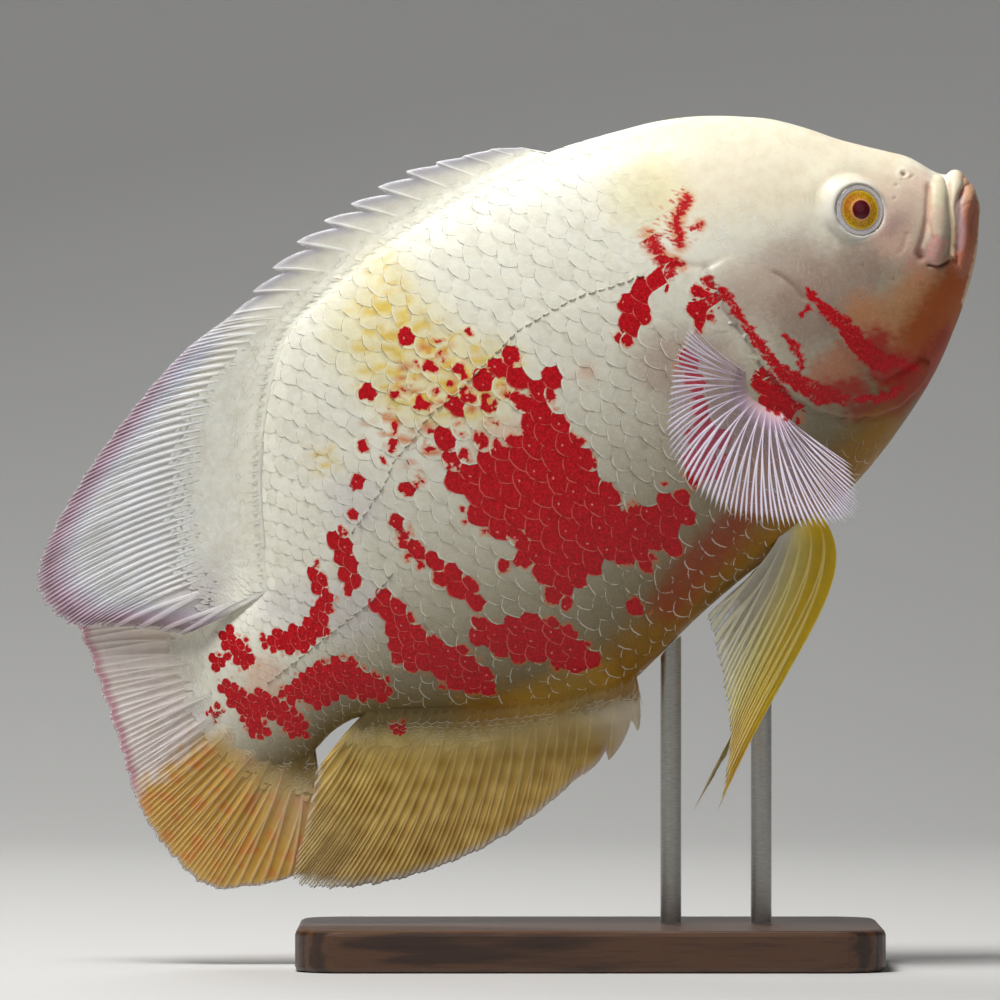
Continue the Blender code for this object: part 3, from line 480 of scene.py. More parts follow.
marks = {
    "red": [
        [(127, 31, 2.8), (132, 31.5, 4.2), (137, 27.5, 4.5), (137, 20, 5)],
        [(166, 21, 4), (156, 21.5, 4), (146, 19, 4.6), (138, 17, 6)],
        [(169, 14, 3.5), (158, 13.5, 5), (146, 12, 6), (137, 11, 6)],
        [(166, 6, 3.6), (158, 3, 5), (150, 3, 7), (141, 2, 7)],
        [(165, -4, 3.6), (155, -6, 4.5), (146, -7, 6), (139, -6, 6)],
        [(160, -14, 4.4), (148, -16, 6), (136, -17, 6.5), (126, -19, 6), (120, -20, 4)],
        [(137, -22, 5), (137, -30, 1.6)], [(129, -24, 4), (128.5, -28, 1.4)], [(159, -18, 4), (163, -21, 2.6)],
        [(147, -37, 2.6), (150, -34, 1.4)],
        [(187, -15, 3.5), (181, -21, 6), (174, -28, 7), (169, -36, 5), (167, -40, 2.6)],
        [(188, 23, 1.8), (190, 14, 3), (187.5, 9, 2.4)], [(186, 4, 2.8), (184, -3, 3.4), (183, -8, 2.2)],
        [(206, 10, 3.2), (204, 3, 3.6), (207, -7, 5.6), (202, -14, 5.6), (198, -22, 6), (195, -28, 3)],
        [(205, 30, 2.6), (208, 21, 3.2), (210, 17, 2.2)], [(216, 28, 2.2), (218, 22, 2.6)],
        [(218, 18, 2.6), (226, 14, 3.2), (234, 14, 3.4), (238, 18, 2.6)],
        [(221, -11, 3.6), (227, -2, 5.6), (236, 0, 6), (242, 3, 2.8)],
        [(223, -23.5, 2.0)], [(247.5, 26, 2.8), (247.5, 17, 2.4)], [(254.5, 22.5, 2.4)],
        [(263.7, 11, 1.6)], [(256, 15, 2.6), (255, 8, 3), (256, 0, 3)],
        [(250, 6, 2.6), (248, 0, 3.2), (246, -7, 2.8)],
        [(88, 36.5, 2.6), (95, 35, 3.2), (101, 31.5, 3.6), (105, 28.5, 2.6)], [(91, 39, 1.4)],
        [(82.5, 48, 1.6), (83.5, 42, 2.0), (83, 37, 1.8)],
        [(95, 12, 2.6), (97, 5, 2.8)], [(100, -2, 3.2), (105, -7, 2.6)], [(98, -9, 3), (108, -12, 3)],
        [(112, -14, 2.8), (104, -16, 3)],
        [(77.5, 28, 2.2), (80.5, 24, 4), (83, 20, 3)], [(80, -5, 3.4), (80.5, -12, 4), (78, -18, 2.4)]],
    # scattered scales that are only part red
    "flecks": [
        (159, 57), (153, 57), (141, 57), (172, 51.5), (163, 47.5), (154, 47), (175, 44.5), (149, 41),
        (145, 43), (141, 40), (175, 36.5), (169, 35.5), (162, 39.5), (157, 39), (153, 38), (165, 34),
        (160, 34), (156.5, 32.5), (150, 35), (144, 36), (138, 36), (168, 28.5), (163, 28.5), (183, 48),
        (192, 40), (196, 33), (173, 60), (150, 50), (147, 30), (152, 27), (170, 22), (171, 8), (171, -3),
        (120, -12), (146, 45), (139, 45), (157, 28), (135, 38), (179, 30), (167, 43), (151, 62),
        (158, 49), (150, 45), (147, 50), (144, 40), (166, 39), (172, 32), (158, 43), (154, 43), (141, 34),
        (148, 33), (164, 30), (160, 24), (134, 44), (155, 66), (169, 55), (176, 44), (181, 40), (163, 53),
        (161, 45), (152, 34), (145, 36), (166, 32), (163, 36), (151, 45), (142, 43), (155, 55), (148, 58),
        (172, 46), (167, 26), (164, 22), (156, 29), (174, 29), (138, 41), (149, 39), (160, 48)],
    # red on the head's smooth skin
    "headRed": [
        [(55.4, 9.5, 0.9), (54.3, 2, 1.7), (52.6, -5, 2.4), (52.3, -10, 3.0), (51.5, -16, 3.2), (49.5, -21, 2.6)],
        [(57.5, 5, 0.8), (61, 4.5, 0.6)], [(68, 2, 0.9), (67.5, -3, 1.4), (69.5, -8, 0.8)],
        [(75, 24, 1.5), (75.3, 12, 1.3), (75.6, 0, 1.6), (74, -8, 2.4), (70, -17, 3.0), (65, -22, 1.6)],
        [(62, -24.5, 1.1), (56, -28.5, 1.3), (49, -29.5, 1.2)], [(47, -22, 1.8), (43, -27, 1.2)],
        [(77, 28, 2.0), (80, 23, 3.6), (83, 19, 2.4)], [(80, -5, 3.2), (80.5, -12, 3.8), (78, -18, 2.4)],
        [(67.4, 50.6, 1.4), (71.4, 48.3, 1.1), (74.4, 46, 1.3), (77, 40.6, 1.0)], [(71.7, 42.6, 0.6), (69, 42.2, 1.0)],
        [(82.6, 49.1, 1.0), (84, 44.1, 1.4), (83.3, 39.9, 1.6), (80.2, 36.1, 1.2)]],
    "orangeSpots": [[(156, 66, 3), (157, 54, 10), (150, 43, 10)], [(176, 50, 5), (170, 38, 9)], [(78, 50, 5), (74, 42, 3)]],
    "orangeNet": [[(77, 44, 3.5)], [(69, 51, 4)], [(74, 48, 2.5)], [(70, 42, 1.5)], [(82, 46, 3)]],
    "yellowNet": [[(150, 84, 3), (158, 72, 10), (160, 58, 13), (150, 46, 11), (140, 42, 7)], [(196, 52, 3)]],
    # washes over the pale ground: tone, strength, softness, where
    "washes": [
        # mauve-grey on the cheek and under and behind the eye: partly the skin's own mauve, partly painted shade
        ((152, 126, 112), 0.8, 9, [[(32, 5, 4), (40, 5, 6)], [(50, 2, 9), (60, 4, 7)], [(27, 7, 3)]]),
        # grey-mauve on the upper gill cover and on the flank behind it: partly own tone, partly painted shade
        ((178, 150, 136), 0.65, 9, [[(54, 16, 7), (70, 18, 6)], [(92, 8, 6), (100, 16, 6)]]),
        ((226, 186, 162), 0.65, 6, [[(12, 14, 4), (22, 10, 5)], [(20, 20, 4), (26, 6, 4)]]),
        ((250, 236, 204), 0.7, 9, [[(14, 26, 4), (26, 34, 8), (44, 44, 12), (60, 58, 14)]]),
        ((244, 232, 170), 0.5, 10, [[(150, 84, 4), (160, 70, 14), (158, 56, 14), (148, 44, 10)], [(76, 60, 8)]]),
        ((206, 150, 142), 0.55, 4, [[(24, -2, 2.5), (26, -6, 2)]]),
        ((224, 142, 78), 0.6, 7, [[(28, -10, 4), (40, -13, 5), (46, -6, 3)]]),
        ((176, 84, 26), 0.95, 5, [[(10, -9.5, 1.5), (16, -13, 3.5), (24, -17, 4.5), (34, -22, 6), (46, -27, 5)]]),
        ((150, 40, 22), 0.8, 4, [[(30, -25, 1), (42, -29, 3), (54, -32, 3), (64, -27, 1.5)]]),
        ((196, 104, 66), 0.6, 4, [[(44, -20, 2), (50, -12, 3), (60, -14, 4), (66, -14, 4)]]),
        ((176, 30, 24), 0.85, 3.5, [[(46, -14, 1.5), (50, -16, 3), (50, -22, 4), (46, -25, 3)], [(60, -22, 2), (68, -18, 2)]]),
        ((228, 132, 56), 0.7, 1.6, [[(67.4, 50.6, 1.6), (71.4, 48.3, 1.4), (74.4, 46, 1.5), (77, 40.6, 1.3)],
                                    [(69, 42.2, 1.2)], [(82.6, 49.1, 1.3), (84, 44.1, 1.6), (80.2, 36.1, 1.4)]]),
        ((246, 234, 198), 0.8, 1.2, [[(5.6, 12.2, 1.2), (8.6, 9.2, 2.0), (11, 6.6, 2.0)]]),
        ((232, 204, 178), 0.8, 1.6, [[(12, 5, 2.2), (15, 1.6, 2.0)]]),
        ((216, 160, 150), 0.85, 1.6, [[(17, -2, 2.2), (19, -4, 1.8), (20.6, -5.4, 1.0)]]),
        ((246, 230, 198), 0.85, 1.0, [[(0.6, 10.4, 1.8), (3.2, 8.0, 1.6), (6.4, 3.9, 1.2), (9.4, -0.6, 0.9),
                                      (12.4, -4.6, 0.7), (15, -7.2, 0.4)]]),
        ((224, 170, 136), 0.95, 1.6, [[(-1.6, 9.0, 1.0), (-1.4, 5.4, 1.8), (1.2, 3.4, 2.2), (4.0, 1.2, 2.2)]]),
        ((188, 116, 90), 0.95, 2.6, [[(-0.4, 0.6, 1.4), (3.4, -1.6, 2.6), (7.2, -4.6, 3.0), (11, -8.6, 3.0),
                                      (14.4, -11.4, 2.4)]]),
        # lavender-grey beside the mouth's slit: painted shade on the slit side of the lower lip
        ((168, 146, 158), 0.6, 1.2, [[(3.4, 4.2, 0.4), (6.0, 1.6, 0.6), (8.6, -2.6, 0.7), (12, -6.6, 0.6)]]),
        # a thin pale line along the front and under outline of the lips and chin: painted rim light
        ((240, 216, 180), 0.7, 0.6, [[(-1.8, 4.4, 0.5), (-0.9, 0.4, 0.5), (1.5, -3.4, 0.5), (5.7, -8.4, 0.6),
                                     (10.7, -13.0, 0.7), (20, -20.5, 0.8)]]),
        ((150, 104, 6), 0.95, 9, [[(62, -38, 4), (84, -45, 8), (120, -47, 8), (160, -51, 8)],
                                   [(186, -44, 3), (204, -34, 2)]]),
        ((150, 52, 12), 0.8, 6, [[(104, -30, 2), (114, -34, 3), (126, -36, 4), (140, -40, 3)]]),
        ((196, 152, 56), 0.5, 6, [[(96, -24, 3), (104, -26, 3)], [(170, -46, 4), (190, -40, 3)]]),
        ((232, 140, 90), 0.35, 4, [[(154, 26, 4), (147, 25, 3)], [(120, 27, 1)], [(246, 12, 4), (254, 4, 3)]]),
        ((214, 206, 214), 0.4, 8, [[(196, 36, 5)], [(214, 12, 6), (232, 25, 3)]]),
    ],
    "rough": [[(57.5, 41.8, 2.2), (54.5, 34, 2.6), (51.2, 26.5, 2.0)], [(64, 44, 3), (66, 34, 2)]],
    "wrinkled": [[(50, 20, 3), (53, 12, 3), (51, 5, 2)], [(62, 8, 2), (64, -6, 3)], [(40, 28, 3), (46, 36, 3)]],
    "lateralLine": [
        [(90, 40), (101, 43), (109, 46), (116, 47), (129, 48.3), (142.5, 46), (155, 44), (163, 43.8), (171, 41),
         (180, 38.8), (185, 35.4), (195, 31.7), (203, 29)],
        [(198, 13.5), (208.7, 10.3), (224.7, 9.7), (248, 8.7)]],
    # low is the lower body's olive-gold, made darker as painted shade of the underside
    "ground": (250, 246, 228), "low": (112, 92, 44),
}


def toneRow(rgb):
    return np.array(tone(*rgb)[:3])


def washed(colour, rgb, share):
    return colour + (toneRow(rgb) - colour) * np.asarray(share)[..., None]


def markings(s, h, left=False):
    # the painted tone and masks at points of the side view; the left side is its own hand
    if left:
        s, h = s + 8 * np.sin(h / 21 + 0.6) * ease(s, 60, 110), h + 7 * np.sin(s / 27) * ease(s, 60, 110)
    waver = 0.8 * ripple(s, h, 5.5, 1) + 0.4 * ripple(s, h, 2.3, 2)
    low = np.interp(s, bodyTable[:, 0], bodyTable[:, 2])
    tall = np.interp(s, bodyTable[:, 0], bodyTable[:, 1]) - low
    colour = np.ones(np.shape(s) + (3,)) * toneRow(marks["ground"])
    # the lower body turns darker olive: partly its own olive-gold, partly painted shade on the underside
    colour = washed(colour, marks["low"], 1 - ease((h - low) / tall, 0.0, 0.78) ** 0.8)
    for rgb, strength, soft, where in marks["washes"]:
        share = ease(strokes(s, h, where) + min(1.0, soft / 4) * waver, -soft, 0.3 * soft)
        colour = washed(colour, rgb, strength * share)
    net = ease(strokes(s, h, marks["yellowNet"]) + 2 * waver, -4, 3)
    fine = np.abs(ripple(s, h, 4.2, 4)) < 0.28 + 0.2 * ripple(s, h, 9, 6)
    colour = washed(colour, (238, 200, 62), net * (0.18 + 0.66 * fine))
    spots = ease(ripple(s, h, 3.1, 8) + 0.4 * ripple(s, h, 1.5, 9), 0.55, 0.85)
    colour = washed(colour, (222, 112, 34), 0.85 * spots * ease(strokes(s, h, marks["orangeSpots"]), -2, 3))
    # grooves and pits are painted darker: partly their own colour, partly painted shade in the hollows
    for line, _, width, rgb, strength in headForm["grooves"]:
        colour = washed(colour, rgb, strength * grooveShare(s, h, line, width * 0.8))
    for (ps, ph), radius, _, rgb, strength in headForm["pits"]:
        colour = washed(colour, rgb, strength * np.exp(-((s - ps) ** 2 + (h - ph) ** 2) / (0.8 * radius) ** 2))
    onHead = strokes(s, h, marks["headRed"]) + 0.6 * waver
    red = ease(onHead, -0.35, 0.5)
    net = strokes(s, h, marks["orangeNet"])
    red = np.maximum(red, 0.75 * ease(net, -0.5, 1) * ease(ripple(s, h, 2.2, 5), 0.1, 0.5))
    flecks = [[(a, b, 1.5 + 0.6 * math.sin(a * 7 + b))] for a, b in marks["flecks"]]
    return {"tone": colour, "headRed": red, "field": strokes(s, h, marks["red"] + flecks),
            "rough": ease(strokes(s, h, marks["rough"]) + waver, -2, 2),
            "wrinkled": ease(strokes(s, h, marks["wrinkled"]) + waver, -3, 2)}


def skinTones(paint, red, glow=0.0):
    # the colour that skin and scales share
    here = placed(paint)
    mottle = grain(paint, here, 260, 4, 0.6)
    fine = grain(paint, here, 1500, 3, 0.6)
    ground = paint.node("ShaderNodeAttribute", {"attribute_name": "tone"}, {}, "Color")
    colour = (mottle.between(0.35, 0.75) * 0.22).mixed(ground, tone(206, 190, 158), "MULTIPLY")
    # fine grain softly lightened toward white: a painted sheen on the wet skin and scales
    colour = (fine.between(0.45, 0.7) * 0.25).mixed(colour, tone(255, 252, 244), "SOFT_LIGHT")
    deep = fine.between(0.3, 0.72).mixed(tone(168, 2, 12), tone(224, 14, 32))
    return red.mixed(colour, deep), here, mottle, fine


def skinFinish():
    material, paint, shader = newFinish(
        "wetSkin", Subsurface_Weight=0.12, Subsurface_Radius=(1.0, 0.42, 0.28), Subsurface_Scale=0.003,
        Coat_Weight=0.06, Coat_Roughness=0.25, IOR=1.36)
    speckled = grain(paint, placed(paint), 1100, 3, 0.6)
    blots = grain(paint, placed(paint), 380, 2, 0.5)
    red = masked(paint, "headRed") * 1.5 - speckled.between(0.42, 0.7) * 0.8 - blots.between(0.5, 0.62) * 0.35
    colour, here, mottle, fine = skinTones(paint, red.clamped())
    rough = masked(paint, "rough")
    specks = grain(paint, here, 2000, 2, 0.5).between(0.54, 0.62) * rough
    colour = (specks * 0.6).mixed(colour, tone(255, 253, 246))
    # painted shadow just behind the gill cover's rear edge
    paintedShadow = (masked(paint, "shadow") * 0.8).clamped()
    colour = paintedShadow.mixed(colour, tone(104, 60, 48))
    feed(colour, shader, "Base Color")
    feed(0.36 + 0.18 * mottle, shader, "Roughness")
    lines = paint.node("ShaderNodeTexWave", {"bands_direction": "X"},
                       {"Vector": here, "Scale": 215.0, "Distortion": 5.0, "Detail": 1.0, "Detail Scale": 0.7})
    patches = grain(paint, here, 230, 2, 0.5).between(0.5, 0.66)
    folds = masked(paint, "wrinkled") * lines.between(0.3, 1.0) * patches
    height = fine * 0.10 + mottle * 0.30 + specks * 0.35 - folds * 0.22
    feed(bumped(paint, height, 0.0005, 0.6), shader, "Normal")
    return material


def setAttribute(mesh, name, values):
    kind, key = ("FLOAT", "value") if np.ndim(values) == 1 else ("FLOAT_COLOR", "color")
    if key == "color":
        values = np.concatenate([values, np.ones((len(values), 1))], 1)
    layer = mesh.attributes.new(name, kind, "POINT")
    layer.data.foreach_set(key, np.ascontiguousarray(values, np.float32).ravel())


def griddedMesh(name, across, along):
    # a flat sheet of the given numbers of faces, and each vertex's place in it
    bm = bmesh.new()
    bmesh.ops.create_grid(bm, x_segments=across, y_segments=along, size=1)
    mesh = bpy.data.meshes.new(name)
    bm.to_mesh(mesh)
    bm.free()
    flat = np.empty(len(mesh.vertices) * 3)
    mesh.vertices.foreach_get("co", flat)
    flat = flat.reshape(-1, 3)
    i = np.rint((flat[:, 0] + 1) / 2 * across).astype(int)
    j = np.rint((flat[:, 1] + 1) / 2 * along).astype(int)
    return mesh, i, j


def setPlaces(mesh, places):
    mesh.vertices.foreach_set("co", np.ascontiguousarray(places, np.float64).ravel())


def linked(mesh, name):
    piece = bpy.data.objects.new(name, mesh)
    bpy.context.scene.collection.objects.link(piece)
    return piece


def closedUp(mesh, distance=1e-6):
    # merges the seam and the poles and turns all faces outward
    bm = bmesh.new()
    bm.from_mesh(mesh)
    bmesh.ops.remove_doubles(bm, verts=bm.verts, dist=distance)
    bmesh.ops.dissolve_degenerate(bm, edges=bm.edges, dist=distance / 2)
    bmesh.ops.recalc_face_normals(bm, faces=bm.faces)
    for face in bm.faces:
        face.smooth = True
    bm.to_mesh(mesh)
    bm.free()


def patchUV(mesh, name, u, v):
    # an own UV map from two values at each vertex
    layer = mesh.uv_layers.new(name=name)
    loops = np.empty(len(mesh.loops), np.int32)
    mesh.loops.foreach_get("vertex_index", loops)
    uv = np.stack([u[loops], v[loops]], 1)
    layer.data.foreach_set("uv", np.ascontiguousarray(uv, np.float32).ravel())


# ---- the skin, one piece from lips to tail

def skinRows():
    first = bodyTable[0]
    centre = (first[1] + first[2]) / 2
    cap = np.array([(first[0] - 0.26, 0.0), (first[0] - 0.24, 0.25), (first[0] - 0.2, 0.5),
                    (first[0] - 0.12, 0.78)])
    s = np.concatenate([np.arange(first[0], 3, 0.2), np.arange(3, 9, 0.24), np.arange(9, 25, 0.34),
                        np.arange(25.2, 83, 0.72), np.arange(83.6, 268, 3.4), [270]])
    top, bottom, half = section(s)
    top = np.concatenate([centre + cap[:, 1] * (first[1] - centre), top])
    bottom = np.concatenate([centre - cap[:, 1] * (centre - first[2]), bottom])
    half = np.concatenate([cap[:, 1] * first[3], half])
    return np.concatenate([cap[:, 0], s]), top, bottom, half


def reliefShell(s, top, bottom, half, columns):
    points, low, up = halfShell(s, top, bottom, half, columns)
    normals = outward(points)
    under = bodyForm["under"] * ease(points[..., 0], 58, 80)
    points = points - normals * under[..., None]
    shaped, shadow, lid = withRelief(points, normals)
    return shaped, shadow, lid, low, up


def makeSkin():
    columns = bodyForm["columns"]
    s, top, bottom, half = skinRows()
    shell, shadow, lid, _, _ = reliefShell(s, top, bottom, half, columns)
    mesh, i, j = griddedMesh("skin", len(s) - 1, 2 * columns)
    left = j > columns
    side = np.where(left, 2 * columns - j, j)
    points = shell[i, side]
    y = np.where(left, points[:, 2], -points[:, 2])
    y = np.where((side == 0) | (side == columns), 0, y)
    last = i == len(s) - 1
    y = np.where(last, y * 0.02, y)
    setPlaces(mesh, posed(points[:, 0], points[:, 1], y))
    ps, ph = points[:, 0], points[:, 1]
    right = markings(ps, ph)
    other = markings(ps, ph, True)
    painted = {key: np.where(left[:, None] if key == "tone" else left, other[key], right[key]) for key in right}
    ring = lid[i, side]
    painted["tone"] = washed(painted["tone"], (250, 244, 232), 0.75 * ring)
    # mauve below the eye, outside its lid: painted shade in the hollow under the eye
    below = np.exp(-((ps - 24.5) / 6) ** 2 - ((ph - 10.5) / 3.6) ** 2)
    painted["tone"] = washed(painted["tone"], (176, 146, 148), 0.5 * below * (1 - ring))
    body = painted["field"] + 0.8 * ripple(ps, ph, 4, 3)
    setAttribute(mesh, "tone", painted["tone"])
    setAttribute(mesh, "headRed", np.maximum(painted["headRed"], ease(body, -0.3, 0.3) * ease(ps, 70, 84)))
    setAttribute(mesh, "rough", painted["rough"])
    setAttribute(mesh, "wrinkled", painted["wrinkled"])
    setAttribute(mesh, "shadow", shadow[i, side])
    closedUp(mesh, 2e-7)
    mesh.materials.append(skinFinish())
    skin = linked(mesh, "skin")
    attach(skin, "root")
    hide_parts("head", "lower_jaw", "gill_cover_right", "gill_cover_left", "trunk", "tail_root")
    return skin


skin = makeSkin()
print("skin", len(skin.data.polygons))

# ---- scales

scaleForm = {
    "rowsUp": 21, "rowsDown": 18,    # rows of scales above and below the middle of the side
    "spacing": [(60, 4.2), (80, 4.9), (100, 5.4), (170, 5.3), (195, 4.5), (215, 3.4), (240, 2.6), (280, 2.1)],
    "rowGap": [(60, 5.0), (85, 5.8), (110, 6.1), (165, 6.0), (195, 5.0), (215, 3.8), (240, 2.8), (280, 2.4)],
    "reach": 0.80,       # free edge past the scale's middle, in spacings
    "tallness": 0.76,    # half height, in row gaps
    "edge": 0.13,        # how far a free edge stands over the scale behind it
    # the scaled skin's front limit, from the back down
    "front": [(62, 110), (66, 84), (74, 60), (86, 42), (87, 34), (80, 30), (79.5, 19), (79.5, 8),
              (80.5, -3), (78.5, -12.6), (75, -21), (69, -28), (61, -33.6), (54, -36), (46, -38), (30, -60)],
}


class GridMap:
    # looks up points and normals of a grid of points between its rows and columns
    def __init__(self, points, flip=1.0):
        self.points = points
        self.normals = outward(points) * flip

    def at(self, row, column):
        rows, columns = self.points.shape[:2]
        row, column = np.clip(row, 0, rows - 1.001), np.clip(column, 0, columns - 1.001)
        i, j = row.astype(int), column.astype(int)
        a, b = (row - i)[..., None], (column - j)[..., None]
        p, n = [(1 - a) * ((1 - b) * grid[i, j] + b * grid[i, j + 1])
                + a * ((1 - b) * grid[i + 1, j] + b * grid[i + 1, j + 1])
                for grid in (self.points, self.normals)]
        return p, n / np.linalg.norm(n, axis=-1, keepdims=True)


class SideMap:
    # looks up points of the relieved side by s and the way around from the middle
    def __init__(self):
        self.s = np.concatenate([np.arange(40, 84, 0.8), np.arange(84, 270, 1.6)])
        top, bottom, half = section(self.s)
        shell, _, _, self.low, self.up = reliefShell(self.s, top, bottom, half, 200)
        self.grid = GridMap(shell)

    def at(self, s, arc):
        # points and normals; a place past the midline lies on the other side
        low = np.interp(s, self.s, self.low)
        up = np.interp(s, self.s, self.up)
        v = np.where(arc > 0, arc / up, arc / low)
        over = np.abs(v) > 1
        v = np.where(v > 1, 2 - v, np.where(v < -1, -2 - v, v))
        p, n = self.grid.at(np.interp(s, self.s, np.arange(len(self.s))), (v + 1) / 2 * 200)
        flip = np.where(over, -1.0, 1.0)
        p[..., 2] *= flip
        n[..., 2] *= flip
        return p, n


def scaleTemplate(along, across):
    # one scale: a shallow vane with a rounded free edge and a thin wall down to the skin.
    # x runs from root (0) to free edge (1), y across (-1..1), z is 1 on top and 0 at the foot
    bm = bmesh.new()
    bmesh.ops.create_grid(bm, x_segments=along, y_segments=across, size=1)
    for v in bm.verts:
        v.co = ((v.co.x + 1) / 2, math.sin(v.co.y * 1.42), 1)
    rim = [e for e in bm.edges if e.is_boundary]
    wall = bmesh.ops.extrude_edge_only(bm, edges=rim)["geom"]
    low = [g for g in wall if isinstance(g, bmesh.types.BMVert)]
    bmesh.ops.translate(bm, verts=low, vec=(0, 0, -1))
    for e in rim:
        e.smooth = False
    foot = [e for e in bm.edges if e.is_boundary]
    bmesh.ops.contextual_create(bm, geom=foot)
    bmesh.ops.recalc_face_normals(bm, faces=bm.faces)
    bm.verts.index_update()
    places = np.array([v.co[:] for v in bm.verts])
    faces = [[v.index for v in f.verts] for f in bm.faces]
    sharp = [tuple(sorted(v.index for v in e.verts)) for e in bm.edges if not e.smooth]
    bm.free()
    return places, faces, sharp


def tiled(name, places, faces, sharp, count, size):
    # one mesh of many like pieces; places holds all their points
    loops = np.concatenate([np.array(f) for f in faces])
    totals = np.array([len(f) for f in faces])
    starts = np.concatenate([[0], np.cumsum(totals)[:-1]])
    offset = np.arange(count)
    mesh = bpy.data.meshes.new(name)
    mesh.vertices.add(count * size)
    mesh.loops.add(count * len(loops))
    mesh.polygons.add(count * len(faces))
    setPlaces(mesh, places)
    mesh.loops.foreach_set("vertex_index", (loops[None] + (offset * size)[:, None]).ravel().astype(np.int32))
    mesh.polygons.foreach_set("loop_start", (starts[None] + (offset * len(loops))[:, None]).ravel().astype(np.int32))
    mesh.update(calc_edges=True)
    mesh.polygons.foreach_set("use_smooth", [True] * len(mesh.polygons))
    edges = np.empty(len(mesh.edges) * 2, np.int32)
    mesh.edges.foreach_get("vertices", edges)
    local = np.sort(edges.reshape(-1, 2) % size, 1)
    keys = {a * size + b for a, b in sharp}
    flags = np.isin(local[:, 0] * size + local[:, 1], list(keys))
    layer = mesh.attributes.new("sharp_edge", "BOOLEAN", "EDGE")
    layer.data.foreach_set("value", flags)
    return mesh


def coatPiece(name, places, middle, template, rng, left, standing, u, v, ownTone=None, keep=0.0):
    # builds one coat mesh with its paint; keep is how far its own tone replaces the skin's
    corners, faces, sharp = template
    size, count = len(corners), len(middle)
    x, y, z = corners.T
    mesh = tiled(name, posed(places[:, 0], places[:, 1], places[:, 2]), faces, sharp, count, size)
    painted = markings(places[:, 0], places[:, 1], left)
    centre = markings(middle[:, 0], middle[:, 1], left)
    colour = painted["tone"]
    if ownTone is not None:
        colour = colour + (ownTone - colour) * np.reshape(keep, (-1, 1))
    shift = rng.normal(1, 0.02, (count, 1))
    setAttribute(mesh, "tone", np.clip(colour * np.repeat(shift, size, 0), 0, 1))
    setAttribute(mesh, "redHere", painted["field"])
    setAttribute(mesh, "redOwn", np.repeat(centre["field"] + rng.normal(0, 0.8, count), size))
    setAttribute(mesh, "own", np.repeat(rng.random(count), size))
    setAttribute(mesh, "standing", np.repeat(standing, size))
    edge = np.where((z < 0.5) & (x > 0.5), 1.1, x)
    patchUV(mesh, "plate", np.tile(edge, count), np.tile(y, count))
    patchUV(mesh, "OFBake", np.repeat(u, size) + (np.tile(x, count) - 0.5) * 0.003,
            np.repeat(v, size) + np.tile(y, count) * 0.0015)
    mesh.uv_layers["OFBake"].active_render = True
    mesh.materials.append(scaleFinish())
    piece = linked(mesh, name)
    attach(piece, "root")
    print(name, len(mesh.polygons), sum(len(f) - 2 for f in faces) * count)
    return piece


def scalePlaces(side, rng):
    # middles of the scales as (s, arc), in staggered rows
    spots = []
    step = 60.0
    index = 0
    gaps, spans = np.array(scaleForm["rowGap"]), np.array(scaleForm["spacing"])
    while step < 269:
        gap = np.interp(step, gaps[:, 0], gaps[:, 1])
        span = np.interp(step, spans[:, 0], spans[:, 1])
        low = np.interp(step, sideMap.s, sideMap.low)
        up = np.interp(step, sideMap.s, sideMap.up)
        over = (0.1 if side < 0 else 0.6) * gap
        for row in range(-scaleForm["rowsDown"], scaleForm["rowsUp"]):
            arc = (row + 0.35) * gap
            if (row + index) % 2 == 0 and over - low < arc < up - over:
                spots.append((step, arc, gap, span))
        step += span / 2
        index += 1
    spots = np.array(spots)
    spots[:, 0] += rng.uniform(-0.35, 0.35, len(spots)) * spots[:, 3] / 5
    spots[:, 1] += rng.uniform(-0.35, 0.35, len(spots)) * spots[:, 2] / 6
    middle, _ = sideMap.at(spots[:, 0], spots[:, 1])
    kept = insideOf(middle[:, 0], middle[:, 1], scaleForm["front"] + [(300, -60), (300, 110)])
    return spots[kept], middle[kept]


def vane(template, rng, gap, span):
    # each scale's own outline: how far each point lies behind and beside the scale's middle
    x, y, z = template[0].T
    count = len(gap)
    size = rng.uniform(0.93, 1.08, (count, 1))
    reach = scaleForm["reach"] * span * size
    bent = 1 + 0.10 * np.sin(3.0 * y[None] + rng.uniform(0, 6.3, (count, 1)))
    back = reach * np.sqrt(1 - y[None] ** 2) * bent
    a = back - (1 - x[None]) * 1.1 * span
    b = scaleForm["tallness"] * gap * y[None] * size
    tilt = rng.normal(0, 0.06, (count, 1))
    return a - tilt * b, b + tilt * a, (a - (reach - span)) / span


def makeScales(side, name):
    rng = np.random.default_rng(5 if side < 0 else 9)
    spots, middle = scalePlaces(side, rng)
    for part, low, high, template in (("Front", 0, 140, scaleTemplate(3, 8)), ("Rear", 140, 300, scaleTemplate(2, 6))):
        own = (spots[:, 0] >= low) & (spots[:, 0] < high)
        some, mid = spots[own], middle[own]
        x, y, z = template[0].T
        ahead, beside, up = vane(template, rng, some[:, 2:3], some[:, 3:4])
        edge, _ = lineDistance(mid[:, 0], mid[:, 1], scaleForm["front"])
        sunk = (0.15 + 0.85 * ease(edge, 1, 16)) * (0.35 + 0.65 * ease(275 - mid[:, 0], 0, 60))
        rise = scaleForm["edge"] * sunk[:, None] * up
        rise = rise + 0.03 + 0.05 * sunk[:, None] * (1 - y[None] ** 2) * np.sin(np.pi * np.clip(x[None], 0, 1))
        rise = rise + rng.normal(0, 0.012, (len(some), 1))
        high3 = np.where(z[None] > 0.5, rise, np.minimum(rise, 0.05) - 0.2)
        p, n = sideMap.at((some[:, 0:1] + ahead).ravel(), (some[:, 1:2] + beside).ravel())
        p = p + n * high3.reshape(-1, 1)
        p[:, 2] *= side
        u = (some[:, 0] - 50) / 230
        v = (np.clip(some[:, 1] / 110, -1, 1) + 1) / 2 * 0.9 + 0.05
        coatPiece(name + part, p, mid, template, rng, side > 0, sunk, u, v)


